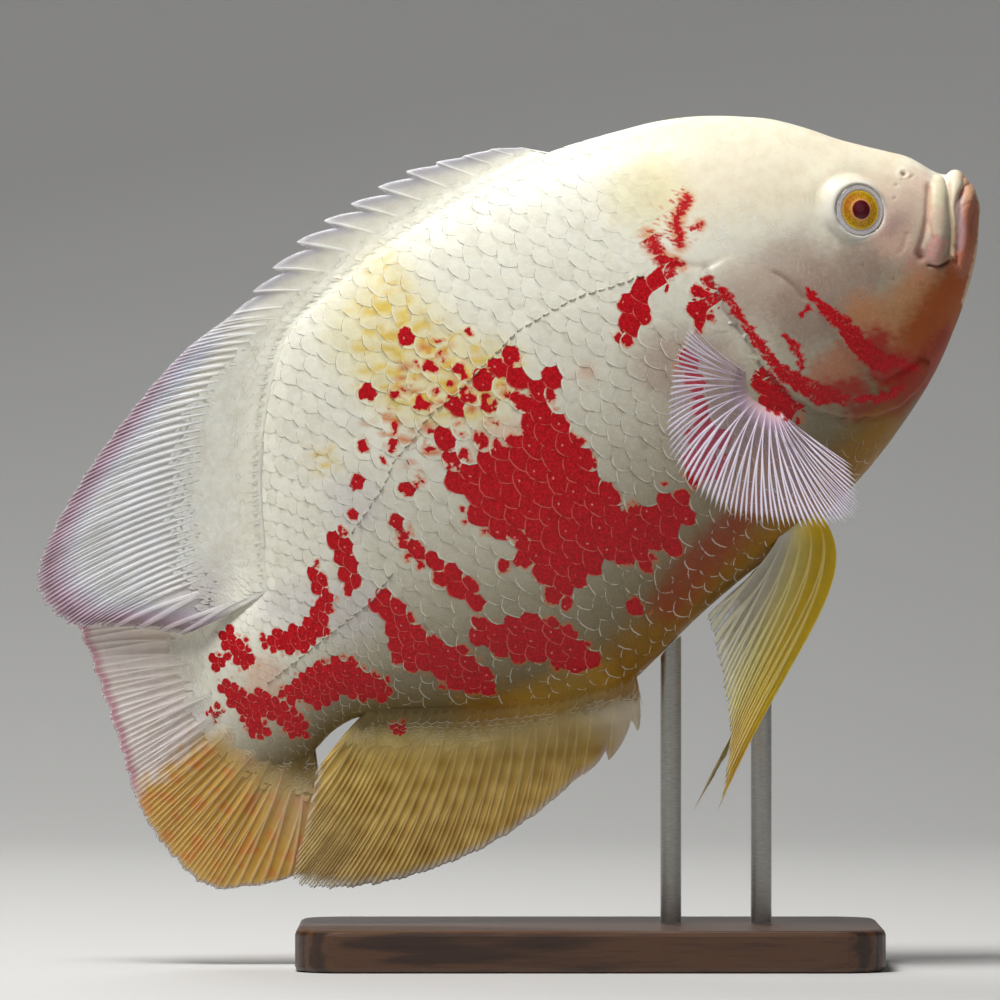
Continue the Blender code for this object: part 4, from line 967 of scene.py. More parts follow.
def scaleFinish():
    made = bpy.data.materials.get("scalePlates")
    if made:
        return made
    material, paint, shader = newFinish(
        "scalePlates", Subsurface_Weight=0.06, Subsurface_Radius=(1.0, 0.42, 0.28),
        Subsurface_Scale=0.002, Coat_Weight=0.06, Coat_Roughness=0.22, IOR=1.34)
    plate = paint.node("ShaderNodeUVMap", {"uv_map": "plate"})
    x = paint.node("ShaderNodeSeparateXYZ", {}, {0: plate})
    y = Wire(paint.tree, x.socket.node.outputs[1])
    own = masked(paint, "own")
    here = placed(paint)
    broken = grain(paint, here, 300, 2, 0.5)
    nicks = grain(paint, here, 420, 2, 0.5, 0.3)
    # red grows from the shown middle of each scale; the field says how far
    dx, dy = (x - 0.58) * 1.9, y * 1.1
    fromMiddle = dx * dx + dy * dy
    red = (masked(paint, "redOwn") * 0.45 + masked(paint, "redHere") * 0.4 + 0.5
           + (nicks - 0.5) * 2.2 - fromMiddle)
    share = red.between(-0.1, 0.12)
    rim = x.between(0.925, 0.945) * (1 - x.between(0.985, 1.0)) * broken.between(0.40, 0.52)
    halo = red.between(-0.5, -0.05) * (1 - share)
    colour, here, mottle, fine = skinTones(paint, share)
    colour = (halo * 0.5).mixed(colour, tone(226, 120, 50))
    colour = (rim * share * 0.6).mixed(colour, tone(232, 128, 112))
    offX, offY = x - 0.52 - 0.16 * own, y - 0.3 + 0.6 * (own * 7.0).calc("FRACT", own * 7.0)
    glint = 1 - (offX * offX * 2.0 + offY * offY).between(0.002, 0.009)
    colour = (glint * share * own.between(0.3, 0.9) * 0.6).mixed(colour, tone(250, 176, 164))
    # broken hairlines along the free edge of a pale scale: the bright one is a painted highlight, the dark one a
    # painted shadow along the edge and down its wall; the root gets painted shade where the scale ahead overlaps it
    streak = masked(paint, "standing") * (1 - share)
    paintedHighlight = x.between(0.87, 0.92) * (1 - x.between(0.95, 0.965)) * broken.between(0.44, 0.56)
    colour = (paintedHighlight * streak * 0.55).mixed(colour, tone(255, 252, 236))
    # painted shadow along the free edge and its wall
    paintedShadow = x.between(0.962, 0.985) * nicks.between(0.46, 0.58)
    colour = (paintedShadow * streak * 0.75).mixed(colour, tone(96, 84, 62))
    # painted shade at the root, under the overlapping edge of the scale ahead
    shade = (1 - x.between(0.10, 0.30)) * streak
    colour = (shade * 0.15).mixed(colour, tone(120, 104, 78))
    feed(colour, shader, "Base Color")
    feed(0.34 + 0.2 * mottle, shader, "Roughness")
    height = fine * 0.12 + mottle * 0.4 + nicks * 0.35
    feed(bumped(paint, height, 0.0004, 0.6), shader, "Normal")
    return material


sideMap = SideMap()
for side, name in ((-1, "scalesRight"), (1, "scalesLeft")):
    makeScales(side, name)


def makeLateralLine(word, sign):
    # the canal shows as a dotted row of low tubes, each with a dark pore behind it
    bm = bmesh.new()
    bmesh.ops.create_icosphere(bm, subdivisions=2, radius=1)
    corners = np.array([v.co[:] for v in bm.verts])
    faces = [[v.index for v in f.verts] for f in bm.faces]
    bm.free()
    spots = []
    for line in marks["lateralLine"]:
        p = np.array(line, float)
        steps = np.concatenate([[0], np.cumsum(np.linalg.norm(np.diff(p, axis=0), axis=1))])
        d = np.arange(1.5, steps[-1], 2.9)
        s, h = np.interp(d, steps, p[:, 0]), np.interp(d, steps, p[:, 1])
        turn = np.arctan2(np.gradient(h), np.gradient(s))
        spots += list(zip(s, h, turn))
    spots = np.array(spots)
    flatGrid = sideMap.grid.points
    found = [np.argmin((flatGrid[..., 0] - s) ** 2 + (flatGrid[..., 1] - h) ** 2) for s, h, _ in spots]
    row, column = np.unravel_index(found, flatGrid.shape[:2])
    base, normal = flatGrid[row, column], sideMap.grid.normals[row, column]
    base = np.stack([spots[:, 0], spots[:, 1], base[:, 2]], 1)
    rng = np.random.default_rng(3)
    turn = (spots[:, 2] + rng.normal(0, 0.12, len(spots)))[:, None]
    x, y, z = corners.T
    along, across = x[None] * 1.15, y[None] * 0.34
    ds, dh = np.cos(turn) * along - np.sin(turn) * across, np.sin(turn) * along + np.cos(turn) * across
    dy = -(ds * normal[:, 0:1] + dh * normal[:, 1:2]) / normal[:, 2:3]
    p = base[:, None] + np.stack([ds, dh, dy + 0 * ds], -1) + normal[:, None] * (0.2 + 0.24 * z[None, :, None])
    p = p.reshape(-1, 3) * (1, 1, sign)
    mesh = tiled("lateralLine" + word, posed(p[:, 0], p[:, 1], p[:, 2]), faces, [], len(spots), len(corners))
    painted = markings(p[:, 0], p[:, 1], sign > 0)
    pore = np.tile(ease(x, 0.35, 0.75), len(spots))
    setAttribute(mesh, "tone", washed(painted["tone"], (84, 72, 58), 0.25 + 0.65 * pore))
    patchUV(mesh, "OFBake", np.repeat((spots[:, 0] - 50) / 230, len(corners)) + np.tile(x, len(spots)) * 0.0015,
            np.repeat((spots[:, 1] + 60) / 170, len(corners)) + np.tile(y, len(spots)) * 0.0015)
    mesh.uv_layers["OFBake"].active_render = True
    material, paint, shader = newFinish("canal" + word, IOR=1.36)
    ground = paint.node("ShaderNodeAttribute", {"attribute_name": "tone"}, {}, "Color")
    feed((grain(paint, placed(paint), 900) * 0.3).mixed(ground, tone(190, 176, 150), "MULTIPLY"), shader, "Base Color")
    mesh.materials.append(material)
    piece = linked(mesh, "lateralLine" + word)
    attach(piece, "root")


makeLateralLine("Right", -1)
makeLateralLine("Left", 1)
print("lateral lines")

# ---- fins

finForm = {
    # rays up to the next key, base s, base h, tip s, tip h, bow, notch behind the tip
    "dorsal": [
        (1, 91, 84.5, 97, 91, 0, 0.05), (1, 97, 86, 104, 95.5, 0, 0.05), (1, 103, 87, 111.5, 98.6, 0, 0.05),
        (1, 110, 88.3, 119, 101.8, 0, 0.08), (1, 118, 89.6, 127.8, 104.8, 0, 0.16),
        (1, 126, 90.3, 137, 105.9, 0.3, 0.22), (1, 134.5, 91, 146.3, 106.6, 0.5, 0.24),
        (1, 143, 91.4, 155.4, 107.2, 0.6, 0.24), (1, 152, 91.6, 165.4, 106.8, 0.7, 0.24),
        (1, 160.5, 91.2, 175.4, 104.8, 0.8, 0.22), (1, 168.5, 90.5, 184, 102.6, 0.9, 0.18),
        (2, 175, 89.8, 192.4, 100.9, 1.0, 0.02), (3, 186, 87, 210, 100.5, 1.5, 0.012),
        (3, 197, 78.8, 232, 95.8, 2.5, 0.02), (3, 206, 69.6, 255, 88.4, 3.5, 0.02),
        (3, 213.5, 60.6, 275, 79.2, 4, 0.02), (3, 219.5, 52, 285.6, 69.5, 4, 0.02),
        (2, 225.5, 42.5, 284.2, 56.4, 4, 0.03), (1, 229.5, 36.2, 275, 49.4, 2.4, 0.03),
        (0, 232.5, 30.4, 258, 34.2, -0.6, 0.03)],
    "anal": [
        (1, 159.5, -52.2, 163, -60, 0, 0.3), (1, 162.5, -52, 168.5, -65.2, 0, 0.3),
        (1, 167, -51, 180.4, -67, -0.5, 0.2), (2, 173, -48.6, 189, -66.1, -0.6, 0.03),
        (2, 183, -44.4, 206, -67.5, -1, 0.02), (3, 194, -38.6, 226, -66.4, -1.5, 0.02),
        (3, 206, -31.2, 249, -60, -2, 0.02), (3, 216, -24.2, 268, -49.6, -2.5, 0.02),
        (2, 223.5, -18.8, 274.2, -41, -3, 0.03), (1, 227.5, -15.8, 262, -30.8, -1.4, 0.03),
        (0, 230, -14.8, 250, -19.6, 0.3, 0.03)],
    "caudal": [
        (2, 249.8, 32.2, 281.5, 55.5, 3.4, 0.01), (3, 254.6, 22.8, 285.4, 41, 1, 0.02),
        (3, 257.2, 14.4, 292.2, 19.6, 0, 0.02), (3, 257.7, 5, 298, 2.5, 0, 0.02),
        (3, 256.2, -4, 298.9, -15, -0.5, 0.02), (2, 253, -10.6, 293.4, -31.2, -1, 0.02),
        (0, 248, -15.6, 269, -43.4, -2, 0.02)],
    # rays up to the next key, then four points of the ray, each as (s, h, y)
    "pectoral": [
        (3, (83, -1, 23), (85, 5, 29.5), (87, 13, 32.5), (87.5, 21.5, 34)),
        (3, (84, -3, 23), (89, 2.2, 30), (95, 7.8, 33.6), (101, 13, 36)),
        (3, (85, -6, 23), (93, -3.2, 30.5), (103.5, -3, 34.6), (115.5, -5.5, 38)),
        (3, (85, -9, 23), (92.5, -12, 31), (102.5, -18.2, 35.2), (114, -27, 39.5)),
        (3, (84, -12, 23), (89, -19, 31.5), (95.2, -29, 36), (101.5, -42, 41)),
        (2, (83, -14, 23), (84.8, -23, 31.5), (86.2, -36, 37), (86.4, -52, 42.5)),
        (2, (82.4, -14.6, 23), (82.6, -22.4, 31), (82, -34.4, 36.8), (79.6, -51, 42.6)),
        (0, (82, -15, 23), (80.5, -20.8, 30), (78, -28.6, 35), (74.2, -39.5, 39.5))],
    "pelvic": [
        (1, (90, -41.5, 7.5), (96.6, -61.8, 9.6), (123.6, -76.4, 13), (165.6, -98, 17)),
        (1, (91.5, -41.5, 7.6), (100, -59.4, 9.7), (126, -73.6, 13.2), (157, -90.4, 16.6)),
        (1, (93, -41.5, 7.7), (104, -57.6, 9.8), (126.6, -70.2, 13), (152, -85.4, 16)),
        (1, (94.5, -41.5, 7.8), (107.6, -55.6, 9.9), (126.6, -66.2, 12.6), (147, -79, 15.2)),
        (1, (96, -41.5, 7.9), (110.6, -53.4, 9.9), (126.2, -61.6, 12), (142.6, -70.6, 14.2)),
        (1, (97.5, -41.5, 8), (112.8, -50.6, 9.8), (126, -56.4, 11.4), (138.4, -62.4, 13)),
        (0, (99, -41.5, 8), (112.4, -46.8, 9.6), (123, -48.2, 10.6), (133.6, -49.8, 11.6))],
    "root": 4.0,
    "leftPelvicTurn": (3.6, -9.0), "leftPelvicLength": 1.04,
}


def fromSideView(keys, root):
    out = []
    for count, bs, bh, ts, th, bow, notch in keys:
        base, tip = np.array((bs, bh, 0.0)), np.array((ts, th, 0.0))
        ahead = (tip - base) / np.linalg.norm(tip - base)
        base = base - ahead * root
        side = bow * 8 / 9 * np.array((-ahead[1], ahead[0], 0))
        out.append((count, *base, *(2 * base + tip) / 3 + side, *(base + 2 * tip) / 3 + side, *tip, notch))
    return out


def paired(keys, sign, turns=(0.0, 0.0), length=1.0):
    out = []
    s0, h0, _ = keys[0][1]
    for i, (count, *points) in enumerate(keys):
        turn = math.radians(turns[0] + (turns[1] - turns[0]) * i / (len(keys) - 1))
        c, d = length * math.cos(turn), length * math.sin(turn)
        turned = [((s - s0) * c - (h - h0) * d + s0, (s - s0) * d + (h - h0) * c + h0, sign * y)
                  for s, h, y in points]
        out.append((count, *np.ravel(turned), 0.02))
    return out


def rayCurves(keys, q):
    # the ray at each place q, counted in rays from the fin's front, on a smooth curve between keys
    starts = np.concatenate([[0], np.cumsum([k[0] for k in keys])[:-1]])
    table = np.array([k[1:] for k in keys], float)
    out = []
    for value in q:
        i = int(np.clip(np.searchsorted(starts, value, side="right") - 1, 0, len(keys) - 2))
        t = (value - starts[i]) / keys[i][0]
        a, b = table[max(i - 1, 0)], table[i]
        c, d = table[i + 1], table[min(i + 2, len(keys) - 1)]
        out.append(b + 0.5 * t * (c - a + t * (2 * a - 5 * b + 4 * c - d + t * (3 * (b - c) + d - a))))
    return np.array(out)


def branchField(x, t, forks):
    # how far, in rays, a place is from the nearest branch of its ray
    far = np.abs(x)
    for reach, start, end in forks:
        far = np.abs(far - reach * ease(t, start, end))
    return far


class FinSheet:
    # a finned sheet closed around its margin, with branching ridges on both faces
    def __init__(self, name, keys, look):
        self.name, self.look = name, look
        spines, forks = look.get("spines", 0), look["forks"]
        total = sum(k[0] for k in keys)
        n, rows = int(total * look["steps"]), look["rows"]
        self.q = q = np.linspace(0, total, n + 1)
        self.total = total
        curves = rayCurves(keys, q)
        four, notch = curves[:, :12].reshape(-1, 4, 3), curves[:, 12]
        frac = q - np.floor(q)
        spiny = q < spines
        dip = np.where(spiny, 1.25 * ease(frac, -0.02, 0.22) * (1 - frac) ** 1.7, np.sin(np.pi * frac) ** 2)
        teeth = np.abs(branchField(q - np.rint(q), 1.0, forks)) / 0.06
        strand = ripple(np.floor(q * 8) * 1.7, q * 0, 3.1, 3)
        ragged = look.get("fringe", 0.010) * np.clip(teeth, 0, 1) + 0.004 * (strand + 1)
        reach = 0.995 - np.where(spiny, notch * dip, np.maximum(notch * 0.6 * dip + ragged, 0))
        along = (np.linspace(0, 1, rows + 1) ** 0.92)
        self.t = t = along[None] * reach[:, None]
        u = 3 * t
        shares = np.stack([-(u - 1) * (u - 2) * (u - 3) / 6, u * (u - 2) * (u - 3) / 2,
                           -u * (u - 1) * (u - 3) / 2, u * (u - 1) * (u - 2) / 6], -1)
        middle = np.einsum("ijk,ikl->ijl", shares, four)
        length = np.linalg.norm(np.diff(middle, axis=1), axis=2)
        run = np.concatenate([np.zeros((n + 1, 1)), np.cumsum(length, axis=1)], 1)
        self.deep = run - look["root"]             # millimetres out from the body
        self.edge = run[:, -1:] - run              # millimetres in from the margin
        if "toViewer" in look:
            middle[..., 2] -= look["toViewer"] * ease((q / total)[:, None], 0.35, 0.95) * ease(t, 0.1, 0.75)
        face = np.cross(np.gradient(middle, axis=1), np.gradient(middle, axis=0))
        face /= np.maximum(np.linalg.norm(face, axis=2, keepdims=True), 1e-9)
        far = branchField((q - np.rint(q))[:, None], t, forks)
        width = look.get("thick", 0.30) - (look.get("thick", 0.30) - 0.06) * ease(t, 0.1, 0.8)
        width = np.where(spiny[:, None], 0.2 - 0.1 * t, width)
        far = np.where(spiny[:, None], np.abs(q - np.rint(q))[:, None], far)
        self.bar = bar = np.exp(-(far / width) ** 2)
        end, mid = look["end"], look["middle"]
        half = end + (mid - end) * (1 - t) ** 1.3
        web = half - (half - 0.16) * ease(t, 0.1, 0.5) * 0.6
        plain = half
        half = web + (half + look["ridge"] - web) * bar
        half = plain + (half - plain) * ease(self.deep, 3, look.get("bareFrom", 5))
        half = half * (1 - 0.85 * ease(along, 0.9, 1.0)[None] ** 2)
        if "joint" in look:
            half = self.jointed(half, middle, look["joint"])
        else:
            half = half + look["flare"] * np.exp(-np.maximum(self.deep, 0) / look.get("flareReach", 3.0))
        half[:, -1] = 0.0
        half[:, 0] = 0.0
        wave = look.get("bend", 0.25) * ripple(q * 2.1, q * 0, 9, 2)[:, None] * ease(t, 0.3, 1.0)
        wave = wave + look.get("folds", 0.0) * np.sin(2 * np.pi * q * 0.5 + 0.8 * np.sin(q))[:, None] \
            * ease(t, 0.02, 0.2) * (1 - ease(t, 0.45, 0.9))
        middle = middle + face * wave[..., None]
        self.near, self.far = middle + face * half[..., None], middle - face * half[..., None]

    def jointed(self, half, middle, sign):
        # the sheet leaves the skin at the skin's own slope and thins out over a few millimetres
        low = sign < 0
        arcs = np.linspace(0.0, 16.0, 81)
        ends = sideMap.low if low else sideMap.up
        grid, _ = sideMap.at(np.repeat(sideMap.s[:, None], 81, 1), sign * (ends[:, None] - arcs[None]))
        heights, sides = sign * grid[..., 1], np.abs(grid[..., 2])
        out, start = half.copy(), -2.6
        inner = self.deep < 0.6
        crossing = np.zeros((len(self.q), 2))
        for k in range(len(self.q)):
            wanted = np.nonzero(inner[k])[0]
            s, h = middle[k, wanted, 0], sign * middle[k, wanted, 1]
            place = np.clip(np.interp(s, sideMap.s, np.arange(len(sideMap.s))), 0, len(sideMap.s) - 1.001)
            i = place.astype(int)
            skin = [np.interp(-v, -heights[a], sides[a]) * (1 - w) + np.interp(-v, -heights[a + 1], sides[a + 1]) * w
                    for v, a, w in zip(h, i, place - i)]
            d = self.deep[k, wanted]
            near, below = np.interp(start, d, skin), np.interp(start - 0.7, d, skin)
            crossing[k] = near, max((below - near) / 0.7, 0.15)
            out[k, wanted] = np.maximum(np.array(skin) - 0.25, 0.05)
        kernel = np.hanning(15) / np.hanning(15).sum()
        crossing = np.stack([np.convolve(np.pad(c, 7, "edge"), kernel, "valid") for c in crossing.T], 1)
        swell = np.maximum(crossing[:, :1] + 0.05 - half, 0.25)
        run = np.clip(swell / crossing[:, 1:], 1.4, 7.0)
        outer = half + swell * np.exp(-(self.deep - start) / run)
        return np.where(self.deep < start, out, outer)

    def doubled(self, grid):
        return np.concatenate([grid, grid[::-1], grid[:1]])

    def toned(self, s, h, q, t, deep, edge, left=False):
        # the fin's own tone, blended into the body's at the root
        body = markings(s, h, left)
        own = self.look["tones"](s, h, q, t, deep, edge)
        low, high = self.look.get("blend", (0, 12))
        return body["tone"] + (own - body["tone"]) * ease(deep, low, high)[..., None], own

    def mesh(self):
        ring = np.concatenate([self.near, self.far[::-1], self.near[:1]])
        mesh, i, j = griddedMesh(self.name, len(ring) - 1, self.look["rows"])
        p = ring[i, j]
        setPlaces(mesh, posed(p[:, 0], p[:, 1], p[:, 2]))
        q = self.doubled(self.q)[i]
        t, deep, edge = (self.doubled(grid)[i, j] for grid in (self.t, self.deep, self.edge))
        patchUV(mesh, "rays", q, t)
        tones, _ = self.toned(p[:, 0], p[:, 1], q, t, deep, edge)
        setAttribute(mesh, "tone", tones)
        field = strokes(p[:, 0], p[:, 1], marks["red"]) + 0.8 * ripple(p[:, 0], p[:, 1], 4, 3)
        setAttribute(mesh, "red", ease(field, -0.3, 0.3) * (1 - ease(deep, 4, 14)))
        setAttribute(mesh, "open", self.look["opened"](p[:, 0], p[:, 1], q, t, deep, edge))
        setAttribute(mesh, "sheath", 1 - ease(deep, 2, 12))
        setAttribute(mesh, "edge", edge)
        closedUp(mesh, 2e-7)
        return mesh

    def granules(self, kind, node, reachOf, big, small, left):
        # small scales that climb from the body onto the fin and fade out between the rays
        rng = np.random.default_rng(21)
        nearIsLeft = np.mean((self.near - self.far)[..., 2]) > 0
        face, steps = self.near if left == nearIsLeft else self.far, self.look["steps"]
        name = kind + ("Left" if left else "Right")
        kernel = np.hanning(2 * steps + 3)[1:-1]
        face = np.pad(face, ((steps, steps), (0, 0), (0, 0)), "edge")
        face = sum(k * face[i:i + len(self.q)] for i, k in enumerate(kernel / kernel.sum()))
        grid = GridMap(face, 1.0)
        spots = []
        step, index = 0.9, 0
        while step < 60:
            width = small + (big - small) * math.exp(-max(0.0, step) / 5.0)
            column = np.array([np.interp(step, self.deep[k], np.arange(self.deep.shape[1])) for k in range(len(self.q))])
            line, _ = grid.at(np.arange(len(self.q), dtype=float), column)
            run = np.concatenate([[0], np.cumsum(np.linalg.norm(np.diff(line, axis=0), axis=1))])
            place = np.arange(0.5 * (index % 2) + 0.3, run[-1] / width) * width
            row = np.interp(place, run, np.arange(len(self.q)))
            limit = reachOf(self.q[row.astype(int)])
            kept = (step < limit * rng.uniform(0.55, 1.1, len(row))) & (row > 1) & (row < len(self.q) - 2)
            for r in row[kept]:
                spots.append((r, np.interp(r, np.arange(len(self.q)), column), width, step))
            step += width * 0.52
            index += 1
        spots = np.array(spots)
        spots[:, 0] += rng.uniform(-0.5, 0.5, len(spots))
        template = scaleTemplate(1, 4)
        x, y, z = template[0].T
        middle, _ = grid.at(spots[:, 0], spots[:, 1])
        column = np.linalg.norm(grid.at(spots[:, 0], spots[:, 1] + 0.5)[0]
                                - grid.at(spots[:, 0], spots[:, 1] - 0.5)[0], axis=1)[:, None]
        row = np.linalg.norm(grid.at(spots[:, 0] + 2, spots[:, 1])[0]
                             - grid.at(spots[:, 0] - 2, spots[:, 1])[0], axis=1)[:, None] / 4
        width = spots[:, 2:3]
        a, b, up = vane(template, rng, width, width)
        thin = 0.3 + 0.7 * (1 - ease(spots[:, 3], 0, 12))
        rise = 0.05 + 0.20 * thin[:, None] * up
        high = np.where(z[None] > 0.5, rise, -0.12)
        p, normal = grid.at(spots[:, 0:1] + b / row, spots[:, 1:2] + a / column)
        normal = normal * np.where((normal[..., 2:] > 0) == left, 1.0, -1.0)
        p = (p + normal * high[..., None]).reshape(-1, 3)
        size = len(x)
        q = np.repeat(self.q[np.clip(spots[:, 0], 0, len(self.q) - 1).astype(int)], size)
        r, c = spots[:, 0].astype(int), np.clip(spots[:, 1], 0, self.t.shape[1] - 1).astype(int)
        t, edge = np.repeat(self.t[r, c], size), np.repeat(self.edge[r, c], size)
        deep = np.repeat(spots[:, 3], size)
        blended, _ = self.toned(p[:, 0], p[:, 1], q, t, deep, edge)
        coatPiece(name, p, middle, template, rng, False, 0.3 + 0.7 * thin, self.q[r] / self.total * 0.9 + 0.05,
                  0.05 + np.clip(spots[:, 3] + 2, 0, 60) / 66, blended, 1.0)


def branching(paint, forks, spines):
    # the same branching as the ridges, from the rays UV map
    q = paint.node("ShaderNodeSeparateXYZ", {}, {0: paint.node("ShaderNodeUVMap", {"uv_map": "rays"})})
    t = Wire(paint.tree, q.socket.node.outputs[1])
    x = q - q.calc("ROUND", q)
    far = x.calc("ABSOLUTE", x)
    soft = q.between(spines, spines + 0.6)
    for reach, start, end in forks:
        gone = far - reach * soft * t.between(start, end)
        far = gone.calc("ABSOLUTE", gone)
    return q, t, far


def finFinish(name, look):
    material, paint, shader = newFinish(name, Subsurface_Weight=0.6, Subsurface_Radius=(1.0, 0.9, 0.85),
                                        Subsurface_Scale=0.002, Coat_Weight=0.08, Coat_Roughness=0.25, IOR=1.38)
    q, t, far = branching(paint, look["forks"], look.get("spines", 0))
    here = placed(paint)
    fine = grain(paint, here, 1600, 3, 0.6)
    mottle = grain(paint, here, 300, 4, 0.6)
    onRay = 1 - far.between(look["rayWidth"] * 0.4, look["rayWidth"])
    bare = 1 - masked(paint, "sheath")
    ground = paint.node("ShaderNodeAttribute", {"attribute_name": "tone"}, {}, "Color")
    colour = (mottle.between(0.35, 0.7) * 0.18).mixed(ground, tone(206, 190, 166), "MULTIPLY")
    colour = (onRay * bare * look["rayShare"]).mixed(colour, tone(*look["rayTone"]))
    colour = ((1 - onRay) * bare * look["webShare"]).mixed(colour, tone(*look["webTone"]))
    dots = (1 - masked(paint, "edge").between(0.25, 0.7)) * grain(paint, here, 900, 1, 0.5).between(0.5, 0.6)
    colour = (dots * look.get("dots", 0.0)).mixed(colour, tone(246, 240, 240))
    red = (masked(paint, "red") * 1.2 - fine.between(0.5, 0.75) * 0.5).clamped()
    colour = red.mixed(colour, tone(172, 4, 18))
    feed(colour, shader, "Base Color")
    if look.get("clear"):
        feed(1 - masked(paint, "open") * (1 - onRay), shader, "Alpha")
    feed(0.40 + 0.2 * mottle, shader, "Roughness")
    cross = grain(paint, paint.node("ShaderNodeCombineXYZ", {}, {0: q * 3.0, 1: t * 46.0}), 1.0, 2, 0.5)
    height = onRay * bare * 0.5 + fine * 0.12 + cross * bare * 0.25
    feed(bumped(paint, height, 0.0004, 0.8), shader, "Normal")
    return material


softForks = [(0.25, 0.05, 0.45), (0.125, 0.3, 0.95)]
fewForks = [(0.25, 0.10, 0.7), (0.125, 0.35, 0.95)]


def rows(s, rgb):
    return np.ones(np.shape(s) + (3,)) * toneRow(rgb)


def dorsalTones(s, h, q, t, deep, edge):
    # cream sheath, grey-white web, and a rose and purple margin on the soft part
    soft = ease(s, 190, 244)
    colour = washed(rows(s, (252, 250, 236)), (236, 238, 240), ease(deep, 10, 34) * ease(s, 180, 210))
    colour = washed(colour, (204, 204, 216), 0.8 * (1 - ease(edge, 1.5, 8)) * (1 - ease(s, 186, 200)))
    colour = washed(colour, (212, 218, 240), 0.8 * ease(s, 186, 210) * (1 - ease(edge, 7, 17)))
    wide = 3 + 4 * soft
    colour = washed(colour, (178, 118, 150), 0.85 * soft * (1 - ease(edge, wide * 0.5, wide * 2.0)))
    colour = washed(colour, (112, 46, 92), 0.85 * soft * (1 - ease(edge, 0.8, wide)))
    colour = washed(colour, (96, 60, 92), 0.6 * (1 - ease(edge, 0, 1.2)) * ease(s, 150, 200))
    # grey-mauve over the fin's lower rear: painted shade of the dark gaps between its rays
    return washed(colour, (176, 160, 166), 0.6 * (1 - ease(h, 38, 54)) * ease(deep, 4, 16))


def analTones(s, h, q, t, deep, edge):
    colour = washed(rows(s, (216, 186, 100)), (190, 156, 66), 0.5 + 0.5 * ripple(s, h, 16, 3))
    colour = washed(colour, (232, 214, 160), 0.5 * (1 - ease(deep, 4, 16)))
    colour = washed(colour, (212, 200, 196), 0.7 * (1 - ease(edge, 0.8, 4)))
    colour = washed(colour, (206, 182, 128), 0.6 * ease(s, 244, 268))
    return washed(colour, (236, 228, 208), 0.8 * (1 - ease(s, 168, 184)))


def caudalTones(s, h, q, t, deep, edge):
    line = h + (s - 262) * 0.06 + 1.6 * ripple(s, h, 9, 2)
    golden = 1 - ease(line, 3, 12)
    colour = washed(rows(s, (222, 214, 212)), (206, 164, 66), golden)
    colour = washed(colour, (214, 130, 40), 0.6 * golden * ease(ripple(s, h, 13, 5), 0.1, 0.9))
    colour = washed(colour, (238, 230, 208), 0.8 * (1 - ease(s, 254, 276)) * (1 - 0.6 * golden))
    colour = washed(colour, (170, 92, 124), 0.85 * (1 - golden) * (1 - ease(edge, 0.8, 4)))
    return washed(colour, (110, 64, 66), 0.7 * golden * (1 - ease(edge, 0.2, 1.6)))


def pectoralTones(s, h, q, t, deep, edge):
    colour = washed(rows(s, (224, 204, 226)), (226, 180, 168), 0.7 * (1 - ease(deep, 1, 7)))
    return washed(colour, (176, 160, 206), 0.4 * (1 - ease(edge, 0, 7)))


def pelvicTones(s, h, q, t, deep, edge):
    colour = washed(rows(s, (236, 200, 14)), (240, 226, 140), ease(q, 1.2, 3.4))
    colour = washed(colour, (214, 212, 202), ease(q, 2.8, 5.0))
    colour = washed(colour, (206, 150, 52), 0.7 * ease(s, 132, 156))
    return washed(colour, (150, 96, 44), 0.5 * (1 - ease(edge, 0.2, 1.0)) * (1 - ease(q, 0.4, 1.4)))


def closedWeb(s, h, q, t, deep, edge):
    return np.zeros(np.shape(s))


